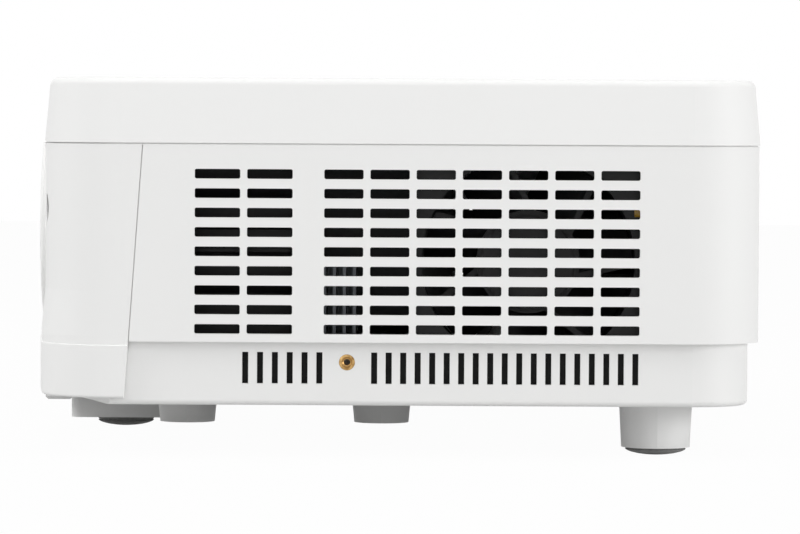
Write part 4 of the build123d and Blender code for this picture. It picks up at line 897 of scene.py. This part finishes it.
PIN_SIZE = (2.3 * MM, 9.6 * MM, 4.3 * MM)
PIN_PLACES = mm((-7, -2), (7, -2), (0, 2))
PIN_MIDDLE = 105.05 * MM


class ProjectorSockets(bpy.types.Operator):
    """Fill the sockets with insulators and contacts, ring the jacks and sheathe the mains pins"""

    bl_idname = "projector.sockets"
    bl_label = "Sockets"

    def execute(self, context):
        # Each wide socket has three rows of five contacts, the middle row set off from the others.
        blocks = [
            (rounded_box(WIDE_BLOCK, edge=0.8 * MM), at(x, SOCKET_FACE + SOCKET_REACH / 2, SOCKET_Z))
            for x in WIDE_SOCKETS
        ]
        rims = []
        for x in WIDE_SOCKETS:
            for row in (-1, 0, 1):
                for step in range(-2, 3):
                    dx = (step + WIDE_SHIFT * (1 - 2 * abs(row))) * WIDE_PITCH
                    place = at(x + dx, SOCKET_FACE + SOCKET_REACH, SOCKET_Z + row * WIDE_ROWS, TO_Y)
                    rims.append((turned(CONTACT_RIM, CONTACT_STEPS), place))
        put(blocks, "socket_blocks", "casing", "component_black")
        put(rims, "socket_contacts", "casing", "brass")
        self.tongue_contacts()
        self.jacks()
        self.mains_pins()
        return {"FINISHED"}

    def tongue_contacts(self):
        """Flat contacts on the tongues of the two narrow sockets."""
        springs = []
        for x, width, height in TONGUE_SOCKETS:
            count = round(width * TONGUE_SHARE / TONGUE_PITCH)
            for z in (SOCKET_Z - height * TONGUE_HALF, SOCKET_Z + height * TONGUE_HALF):
                for step in range(count):
                    shift = (step - (count - 1) / 2) * TONGUE_PITCH
                    spring = rounded_box(TONGUE_SPRING, edge=0.03 * MM, segments=1)
                    springs.append((spring, at(x + shift, SOCKET_FACE + TONGUE_OUT, z)))
        put(springs, "tongue_contacts", "casing", "brass")

    def jacks(self):
        """Coloured collars that tell the jacks apart, and the springs in their bores."""
        face = span("audio_video_jacks")[1].y
        for (name, code), x in zip(JACK_COLOURS, JACK_XS):
            collars = [(turned(COLLAR, SMALL_STEPS), at(x, face, z, TO_Y)) for z in JACK_ZS]
            tone = coloured("key_grey", "moulded_collar_" + name, linear(code))
            put(collars, "jack_collar_" + name, "casing", "key_grey", tone)
        springs = [
            (turned(JACK_SPRING, SMALL_STEPS), at(x, face, z, TO_Y)) for x in JACK_XS for z in JACK_ZS
        ]
        put(springs, "jack_springs", "casing", "plated_steel")

    def mains_pins(self):
        """Plated sheaths with rounded tips on the three pins of the mains inlet."""
        centre = span("mains_inlet")[2]
        pins = [
            (rounded_box(PIN_SIZE, edge=0.6 * MM, segments=3), at(centre.x + dx, PIN_MIDDLE, centre.z + dz))
            for dx, dz in PIN_PLACES
        ]
        put(pins, "mains_pins", "casing", "plated_steel")


SCREW_INSET = 4.2 * MM  # of a fan's corner screws
SCREW_HEAD = mm((0, -0.2), (0.7, -0.2), (1.1, 0.08), (2.4, 0.08), (2.6, 0), (2.7, -0.3), (0, -0.3))
FANS = (("exhaust", TO_X, 15.2 * MM), ("intake", TO_X @ TO_DOWN, 11.2 * MM))  # and their caps' radii
# The cap's section in shares of its radius and in millimetres: middle, raised ring, groove and rim.
CAP_SECTION = (
    (0, 0.15), (0.35, 0.15), (0.4, 0.5), (0.78, 0.5), (0.84, 0.2), (0.93, 0.2), (0.96, 0.5), (1, 0.3),
    (1, -0.3), (0, -0.3)
)
LEAD_INSET = 3.0 * MM  # of the first lead from the fan's outer side
LEADS = (("red", "#9C2B26"), ("black", "#222224"))
# A lead's way behind the fan, from its outer side, rear edge and top, and from its foot.
LEAD_TOP = mm((-9, 1, -24), (-8.5, 1, -16), (-5, 1, -12), (0, 0.9, -14), (1, 1.1, -24), (-1, 1.4, -42))
LEAD_FOOT = mm((-4, 1.2, 6), (-4, 1, -6))
TAPE_SIZE = (8.2 * MM, 4.8 * MM, 3.8 * MM)
TAPE_PLACE = (-3.7 * MM, 0.2 * MM, -19 * MM)  # from the same corner
SCREENS = mm((-49, -18.4), (-7.8, 84))  # the two ends of each along the wall
SCREEN_X = 149.78 * MM  # between the exhaust fan's frame and the wall
SCREEN_THICKNESS = 0.3 * MM
SCREEN_LOW, SCREEN_HIGH = 20.6 * MM, 36 * MM
CLOTH_GLOSS = 0.15


class ProjectorFans(bpy.types.Operator):
    """Make the fans' hub caps, corner screws, leads and tape, and the screens inside the base's slots"""

    bl_idname = "projector.fans"
    bl_label = "Fans"

    def execute(self, context):
        heads = []
        for fan, face, radius in FANS:
            low, high, centre = span(fan + "_fan_frame")
            half = (high.y - low.y) / 2 - SCREW_INSET
            outer = high.x if face == TO_X else low.x
            for dy in (-half, half):
                for dz in (-half, half):
                    place = at(outer, centre.y + dy, centre.z + dz, face)
                    heads.append((turned(SCREW_HEAD, TINY_STEPS), place))
        put(heads, "fan_screws", "casing", "component_black")
        for fan, face, radius in FANS:
            low, high, centre = span(fan + "_fan_rotor")
            outer = high.x if face == TO_X else low.x
            profile = [(radius * share, rise * MM) for share, rise in CAP_SECTION]
            parts = [(turned(profile, CAP_STEPS), at(outer, centre.y, centre.z, face))]
            put(parts, fan + "_hub_cap", fan + "_rotor", "black_plastic")
        self.leads(context.scene.projector_sizes.wire)
        self.dust_screens()
        return {"FINISHED"}

    def leads(self, wire):
        """The exhaust fan's leads, held at its rear edge by a lap of tape."""
        low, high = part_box("exhaust_fan_frame")
        for turn, (name, code) in enumerate(LEADS):
            start = high.x - LEAD_INSET - turn * wire
            run = [(start + x, high.y + y, high.z + z) for x, y, z in LEAD_TOP]
            run += [(start + x, high.y + y, low.z + z) for x, y, z in LEAD_FOOT]
            tone = coloured("component_black", "extruded_vinyl_" + name, linear(code))
            settle(tube(run, wire, name), "fan_lead_" + name, "casing", "component_black", tone)
        tape = (rounded_box(TAPE_SIZE, edge=0.35 * MM), at(*(high + Vector(TAPE_PLACE))))
        put([tape], "fan_tape", "casing", "component_yellow")

    def dust_screens(self):
        """Thin black screens on the inside of the base's slots, whose near-black colour is painted shade that
        darkens the slots.
        """
        # The screens' near-black is painted shade: it stands in for the dark inside of the slots, on a screen
        # of a kind a real base may hold.
        painted_shade_cloth = coloured("component_black", "woven_dust_screen", linear("#191919"))
        painted_shade_cloth.node_tree.nodes["Principled BSDF"].inputs["Specular IOR Level"].default_value = CLOTH_GLOSS
        sheets = []
        for start, end in SCREENS:
            size = (SCREEN_THICKNESS, end - start, SCREEN_HIGH - SCREEN_LOW)
            place = at(SCREEN_X, (start + end) / 2, (SCREEN_HIGH + SCREEN_LOW) / 2)
            sheets.append((rounded_box(size, edge=0.05 * MM, segments=1), place))
        put(sheets, "dust_screens", "casing", "component_black", painted_shade_cloth)


CHIP_XS = (-96 * MM, -66 * MM, -36 * MM)
CHIP_Y = 56 * MM
CHIP_HALF = 9 * MM
LEGS = 14  # on each side of a chip
LEG_PITCH = 1.0 * MM
LEG_SIZE = (1.2 * MM, 0.42 * MM, 0.5 * MM)
LEG_OUT = 0.5 * MM  # middle of a leg outside its chip
LEG_RISE = 0.26 * MM
CAN_XS = (-112 * MM, -104 * MM, 30 * MM)
CAN_Y = 78 * MM
CAN_HEIGHT = 10 * MM
CAN_TOP = mm(
    (0, 0), (2.4, 0), (2.6, 0.25), (3.05, 0.3), (3.25, -0.2), (3.25, -1.4), (3.1, -1.6), (0, -1.6)
)
COIL_XS = (-90 * MM, -58 * MM)
CORE_YS = (-77 * MM, -47 * MM)  # in front of a winding and behind it
CORE_RISE = 10.7 * MM
CORE_SIZE = (26 * MM, 4 * MM, 21 * MM)


class ProjectorBoards(bpy.types.Operator):
    """Make the chips' legs, the tops of the capacitors and the windings' cores"""

    bl_idname = "projector.boards"
    bl_label = "Boards"

    def execute(self, context):
        board = span("main_board")[1].z
        legs = []
        for x in CHIP_XS:
            for side in range(4):
                turn = Matrix.Rotation(side * math.pi / 2, 4, "Z")
                for step in range(LEGS):
                    out = at(CHIP_HALF + LEG_OUT, (step - (LEGS - 1) / 2) * LEG_PITCH, 0)
                    leg = rounded_box(LEG_SIZE, edge=0.1 * MM, segments=1)
                    legs.append((leg, at(x, CHIP_Y, board + LEG_RISE, turn @ out)))
        put(legs, "chip_legs", "casing", "plated_steel")
        cans = [
            (turned(CAN_TOP, SMALL_STEPS), at(x, CAN_Y, board + CAN_HEIGHT)) for x in CAN_XS
        ]
        put(cans, "capacitor_tops", "casing", "aluminium")
        height = span("power_board")[1].z + CORE_RISE
        cores = [(rounded_box(CORE_SIZE, edge=0.5 * MM), at(x, y, height)) for x in COIL_XS for y in CORE_YS]
        put(cores, "ferrite_cores", "casing", "component_black")
        return {"FINISHED"}


SPEAKER_EDGE = 3.2 * MM  # of its frame, round the cone
SPEAKER_DEPTH = 0.9 * MM  # of the cone's foot inside the frame
DUST_CAP = mm((0, 3.4), (2.4, 3.2), (4.6, 2.5))
CONE_STEPS = 64
CONE_FOOT = 0.74  # of the radius, at the height of the fold
FOLD_START, FOLD_WIDTH = 0.79, 0.2  # of the radius
FOLD_HIGH, FOLD_DEPTH = 0.8, 0.9  # in millimetres
CONE_BACK = (2.6 * MM, 4.2 * MM)  # height of its back at the rim and in the middle
FOLD_STEPS = 6  # of the cone's folded edge


class ProjectorSpeaker(bpy.types.Operator):
    """Make the speaker's paper cone with its folded edge and dust cap"""

    bl_idname = "projector.speaker"
    bl_label = "Speaker"

    def execute(self, context):
        low, high, centre = span("speaker")
        radius = (high.y - low.y) / 2 - SPEAKER_EDGE
        profile = DUST_CAP + [(radius * CONE_FOOT, FOLD_HIGH * MM)]
        for step in range(FOLD_STEPS + 1):
            share = step / FOLD_STEPS
            height = FOLD_HIGH - FOLD_DEPTH * math.sin(math.pi * share)
            profile.append((radius * (FOLD_START + FOLD_WIDTH * share), height * MM))
        profile += [(radius, CONE_BACK[0]), (0, CONE_BACK[1])]
        cone = (turned(profile, CONE_STEPS), at(low.x + SPEAKER_DEPTH, centre.y, centre.z, TO_X))
        put([cone], "speaker_cone", "casing", "component_black")
        return {"FINISHED"}


BALL = 0.95 * MM  # radius of the hub's balls
BALL_REACH = 6.75 * MM  # from the hub's middle
BALL_DROP = 1.2 * MM  # below the hub's top
BALL_TURN = 0.4  # of the first ball, in radians
HUB_RING = mm((9, 0), (12.6, 0), (12.6, 0.25), (12.2, 0.4), (9.4, 0.4), (9, 0.25))
HUB_SEAT = 1.2 * MM
PICKUP_LENS = mm((0, 0.45), (0.8, 0.38), (1.5, 0.15), (1.5, -0.2), (0, -0.2))
PICKUP_RIM = mm((1.5, -0.2), (2.35, -0.2), (2.35, 0.1), (2.1, 0.3), (1.6, 0.3), (1.5, 0.2))
PICKUP_SCREW = mm((0, -0.35), (0.5, -0.35), (0.6, 0), (1.2, 0), (1.5, -0.3), (1.5, -0.7), (0, -0.7))
PICKUP_STEPS = 20
PICKUP_SCREWS = 12 * MM  # from the lens
SLED_PITCH = 3 * MM
SLED_THREAD = 0.35 * MM  # height of its thread
SLED_EASE = 0.02 * MM  # ridge inside the screw's own box
SLED_END = 2 * MM  # plain ends
SLED_SHARE = 0.4


class ProjectorDrawer(bpy.types.Operator):
    """Make the disc hub's balls and ring, the pickup's lens and screws and the lead screw's thread"""

    bl_idname = "projector.drawer"
    bl_label = "Disc drawer"

    def execute(self, context):
        self.hub()
        self.pickup()
        self.lead_screw()
        return {"FINISHED"}

    def hub(self):
        """Three balls that hold a disc, and the rubber ring that it lies on."""
        low, high, centre = span("disc_hub")
        balls = []
        for step in range(3):
            turn = math.tau * step / 3 + BALL_TURN
            ball = bmesh.new()
            bmesh.ops.create_icosphere(ball, subdivisions=3, radius=BALL)
            x, y = centre.x + BALL_REACH * math.cos(turn), centre.y + BALL_REACH * math.sin(turn)
            balls.append((ball, at(x, y, high.z - BALL_DROP)))
        put(balls, "hub_balls", "disc_hub", "plated_steel")
        ring = (turned(HUB_RING), at(centre.x, centre.y, low.z + HUB_SEAT))
        put([ring], "hub_ring", "disc_hub", "rubber")

    def pickup(self):
        """The pickup's small lens in its ring, with two adjusting screws."""
        high, centre = span("pickup_sled")[1:]
        y = span("disc_hub")[2].y
        place = at(centre.x, y, high.z)
        lens = turned(PICKUP_LENS, SMALL_STEPS)
        put([(lens, place)], "pickup_lens", "pickup_sled", "coated_glass")
        parts = [(turned(PICKUP_RIM, SMALL_STEPS), place)]
        for dy in (-PICKUP_SCREWS, PICKUP_SCREWS):
            parts.append((turned(PICKUP_SCREW, PICKUP_STEPS), place @ at(0, dy, 0)))
        put(parts, "pickup_fittings", "pickup_sled", "brass")

    def lead_screw(self):
        """The lead screw's thread, 3 mm a turn."""
        low, high, centre = span("sled_screw")
        radius = (high.z - low.z) / 2
        core = radius - SLED_THREAD
        reach = high.x - low.x
        shaft = turned([(0, 0), (core, 0), (core, reach), (0, reach)], TINY_STEPS)
        turns = (reach - 2 * SLED_END) / SLED_PITCH - 1
        ridge = thread(core, radius - SLED_EASE, SLED_PITCH, turns, SLED_SHARE)
        place = at(low.x, centre.y, centre.z, TO_X)
        parts = [(shaft, place), (ridge, place @ at(0, 0, SLED_END))]
        put(parts, "sled_thread", "sled_screw", "plated_steel", None, ["sled_screw"])


SEAM_CUT = 98.4 * MM  # just above the seam
TONGUE_LOW = 97.0 * MM
TONGUE_HIGH = 98.6 * MM
TONGUE_SUNK = 0.75 * MM  # behind the outer walls
TONGUE_WALL = 0.9 * MM
PARTING_LEAN = math.atan2(5.5, 78.9)  # the gap's run from front to back over its height
PARTING_MIDDLE = 66.8 * MM  # middle height of the leaning gap at the side
PARTING_Y = -78.604 * MM  # and its place there
STRIP_SIZE = (0.9 * MM, 0.26 * MM, 60 * MM)
STRIP_SUNK = 1.0 * MM  # middle of a strip behind the outer wall


class ProjectorSeam(bpy.types.Operator):
    """Close the seam under the top cover, and the gaps beside the bezel, from behind"""

    bl_idname = "projector.seam"
    bl_label = "Seam"

    def execute(self, context):
        mesh = mesh_of("top_cover")
        whole = mesh.verts[:] + mesh.edges[:] + mesh.faces[:]
        cut = bmesh.ops.bisect_plane(mesh, geom=whole, plane_co=(0, 0, SEAM_CUT), plane_no=(0, 0, 1))
        edges = {item for item in cut["geom_cut"] if isinstance(item, bmesh.types.BMEdge)}
        side = max((corner for edge in edges for corner in edge.verts), key=lambda corner: corner.co.x)
        rim = linked(side, edges)
        others = [edge for edge in mesh.edges if edge not in rim]
        bmesh.ops.delete(mesh, geom=others, context="EDGES")
        loose = [corner for corner in mesh.verts if not corner.link_edges]
        bmesh.ops.delete(mesh, geom=loose, context="VERTS")
        low, high = cad_box
        sunk = [1 - TONGUE_SUNK / ((high[axis] - low[axis]) / 2) for axis in range(2)]
        bmesh.ops.scale(mesh, vec=(*sunk, 1.0), verts=mesh.verts)
        bmesh.ops.translate(mesh, vec=(0, 0, TONGUE_LOW - SEAM_CUT), verts=mesh.verts)
        made = bmesh.ops.extrude_edge_only(mesh, edges=mesh.edges[:])
        bmesh.ops.translate(mesh, vec=(0, 0, TONGUE_HIGH - TONGUE_LOW), verts=corners_of(made["geom"]))
        bmesh.ops.recalc_face_normals(mesh, faces=mesh.faces)
        bmesh.ops.solidify(mesh, geom=mesh.faces[:], thickness=TONGUE_WALL)
        settle(mesh, "seam_tongue", "casing", "white_abs")
        # Strips sunk in the leaning gaps between the bezel and the housing.
        low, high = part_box("main_housing")
        lean = Matrix.Rotation(-PARTING_LEAN, 4, "X")
        strips = [
            (rounded_box(STRIP_SIZE, edge=0.05 * MM, segments=1), at(x, PARTING_Y, PARTING_MIDDLE, lean))
            for x in (high.x - STRIP_SUNK, low.x + STRIP_SUNK)
        ]
        put(strips, "parting_strips", "casing", "white_abs")
        return {"FINISHED"}


PLATE_SIZE = (64 * MM, 30 * MM, 0.5 * MM)
PLATE_PLACE = (-72 * MM, 30 * MM, 16.75 * MM)


class ProjectorUnderside(bpy.types.Operator):
    """Put a bare plate under the base"""

    bl_idname = "projector.underside"
    bl_label = "Underside"

    def execute(self, context):
        plate = (rounded_box(PLATE_SIZE, edge=0.2 * MM), at(*PLATE_PLACE))
        put([plate], "bare_plate", "casing", "silver_paint")
        return {"FINISHED"}


# ---- stage ----

EYE_DISTANCE = 1.4  # from the camera to the side wall
EYE_HEIGHT = 0.106
AIM_HEIGHT = 0.0599  # point of the side wall in the middle of the picture
AIM_Y = 0.0032
EYE_LENS = 204.0
EYE_ROLL = 0.0055
EYE_FAR = 20.0  # how far the camera sees
FLOOR_SIZE = 6.0
FLOOR_SEEN = 0.972  # share of the floor's look that is plain white
WORLD_LEVEL = 0.46
LAMPS = (  # name, place, target, size and watts
    ("top", (0.3, -0.1, 1.5), (0, 0, 0.06), 1.4, 8.4),
    ("fill", (1.7, -0.8, 0.9), (0.1, 0, 0.06), 1.2, 4.9),
    ("front", (0.6, -1.3, 0.85), (0.1, -0.1, 0.06), 0.7, 7.0),
    ("rear", (0.8, 1.4, 0.35), (0.1, 0.1, 0.04), 0.6, 9.5),
)


def facing(place, target):
    """The turn of a lamp or camera at a place that looks at a target."""
    return (Vector(target) - Vector(place)).to_track_quat("-Z", "Y")


def white_for_camera(tree):
    """1 for what the camera sees itself, in gloss or through glass, and 0 for other light."""
    rays = add(tree, "LightPath").outputs
    seen = rays["Is Camera Ray"]
    for other in ("Is Glossy Ray", "Is Transmission Ray"):
        seen = add(tree, "Math", {}, {0: seen, 1: rays[other]}, operation="MAXIMUM").outputs[0]
    return seen


class ProjectorStage(bpy.types.Operator):
    """Make the floor, the studio's light and the camera at the left side"""

    bl_idname = "projector.stage"
    bl_label = "Stage"

    def execute(self, context):
        scene = context.scene
        self.world(scene)
        self.floor(scene)
        for name, place, target, size, watts in LAMPS:
            data = bpy.data.lights.new(name, "AREA")
            data.size = size
            data.energy = watts
            lamp = bpy.data.objects.new(name, data)
            scene.collection.objects.link(lamp)
            lamp.location = place
            lamp.rotation_euler = facing(place, target).to_euler()
        self.camera(scene)
        scene.view_settings.view_transform = "Standard"
        return {"FINISHED"}

    def world(self, scene):
        """Even light from all round, seen as white."""
        world = bpy.data.worlds.new("studio")
        world.use_nodes = True
        tree = world.node_tree
        back = tree.nodes["Background"]
        back.inputs["Color"].default_value = (1.0, 1.0, 1.0, 1.0)
        levels = {"To Min": WORLD_LEVEL, "To Max": 1.0}
        strength = add(tree, "MapRange", levels, {"Value": white_for_camera(tree)})
        tree.links.new(strength.outputs["Result"], back.inputs["Strength"])
        scene.world = world

    def floor(self, scene):
        """A pale floor that blends into the white behind it and keeps a faint shadow."""
        mesh = bmesh.new()
        bmesh.ops.create_grid(mesh, x_segments=1, y_segments=1, size=FLOOR_SIZE / 2)
        data = bpy.data.meshes.new("floor")
        mesh.to_mesh(data)
        mesh.free()
        floor = bpy.data.objects.new("floor", data)
        scene.collection.objects.link(floor)
        skin = Skin("paper_floor", "#CFCFCF", Roughness=0.9, Specular_IOR_Level=0.0)
        tree = skin.tree
        shine = add(tree, "Emission", {"Strength": 1.0}).outputs[0]
        seen = {0: white_for_camera(tree)}
        share = add(tree, "Math", {1: FLOOR_SEEN}, seen, operation="MULTIPLY").outputs[0]
        mix = add(tree, "MixShader", {}, {0: share, 1: skin.shader.outputs[0], 2: shine})
        tree.links.new(mix.outputs[0], tree.nodes["Material Output"].inputs["Surface"])
        data.materials.append(skin.made)

    def camera(self, scene):
        """A long lens square on to the left side, a little above it."""
        data = bpy.data.cameras.new("camera")
        data.lens = EYE_LENS
        data.clip_end = EYE_FAR
        camera = bpy.data.objects.new("camera", data)
        scene.collection.objects.link(camera)
        side = cad_box[1].x
        eye = Vector((side + EYE_DISTANCE, AIM_Y, EYE_HEIGHT))
        turn = facing(eye, (side, AIM_Y, AIM_HEIGHT)).to_matrix().to_4x4()
        camera.matrix_world = at(*eye, turn @ Matrix.Rotation(EYE_ROLL, 4, "Z"))
        scene.camera = camera


# ---- the add-on ----

class ProjectorPanel(bpy.types.Panel):
    """Sizes, colours and pieces of the projector"""

    bl_label = "Projector"
    bl_idname = "VIEW3D_PT_projector"
    bl_space_type = "VIEW_3D"
    bl_region_type = "UI"
    bl_category = "Projector"

    def draw(self, context):
        for group in (context.scene.projector_sizes, context.scene.projector_colours):
            for name in group.__annotations__:
                self.layout.prop(group, name)
        for piece in PIECES:
            self.layout.operator(piece.bl_idname)


PIECES = (
    ProjectorStage, ProjectorFinishes, ProjectorSeam, ProjectorInserts, ProjectorFeet, ProjectorLens,
    ProjectorKeys, ProjectorSockets, ProjectorFans, ProjectorBoards, ProjectorSpeaker, ProjectorDrawer,
    ProjectorUnderside,
)
CLASSES = (ProjectorColours, ProjectorSizes, *PIECES, ProjectorPanel)


def register():
    for kind in CLASSES:
        bpy.utils.register_class(kind)
    bpy.types.Scene.projector_colours = PointerProperty(type=ProjectorColours)
    bpy.types.Scene.projector_sizes = PointerProperty(type=ProjectorSizes)


def unregister():
    del bpy.types.Scene.projector_sizes
    del bpy.types.Scene.projector_colours
    for kind in reversed(CLASSES):
        bpy.utils.unregister_class(kind)


def main():
    register()
    for piece in PIECES:
        getattr(bpy.ops.projector, piece.bl_idname.split(".")[1])()


if __name__ == "__main__":
    main()
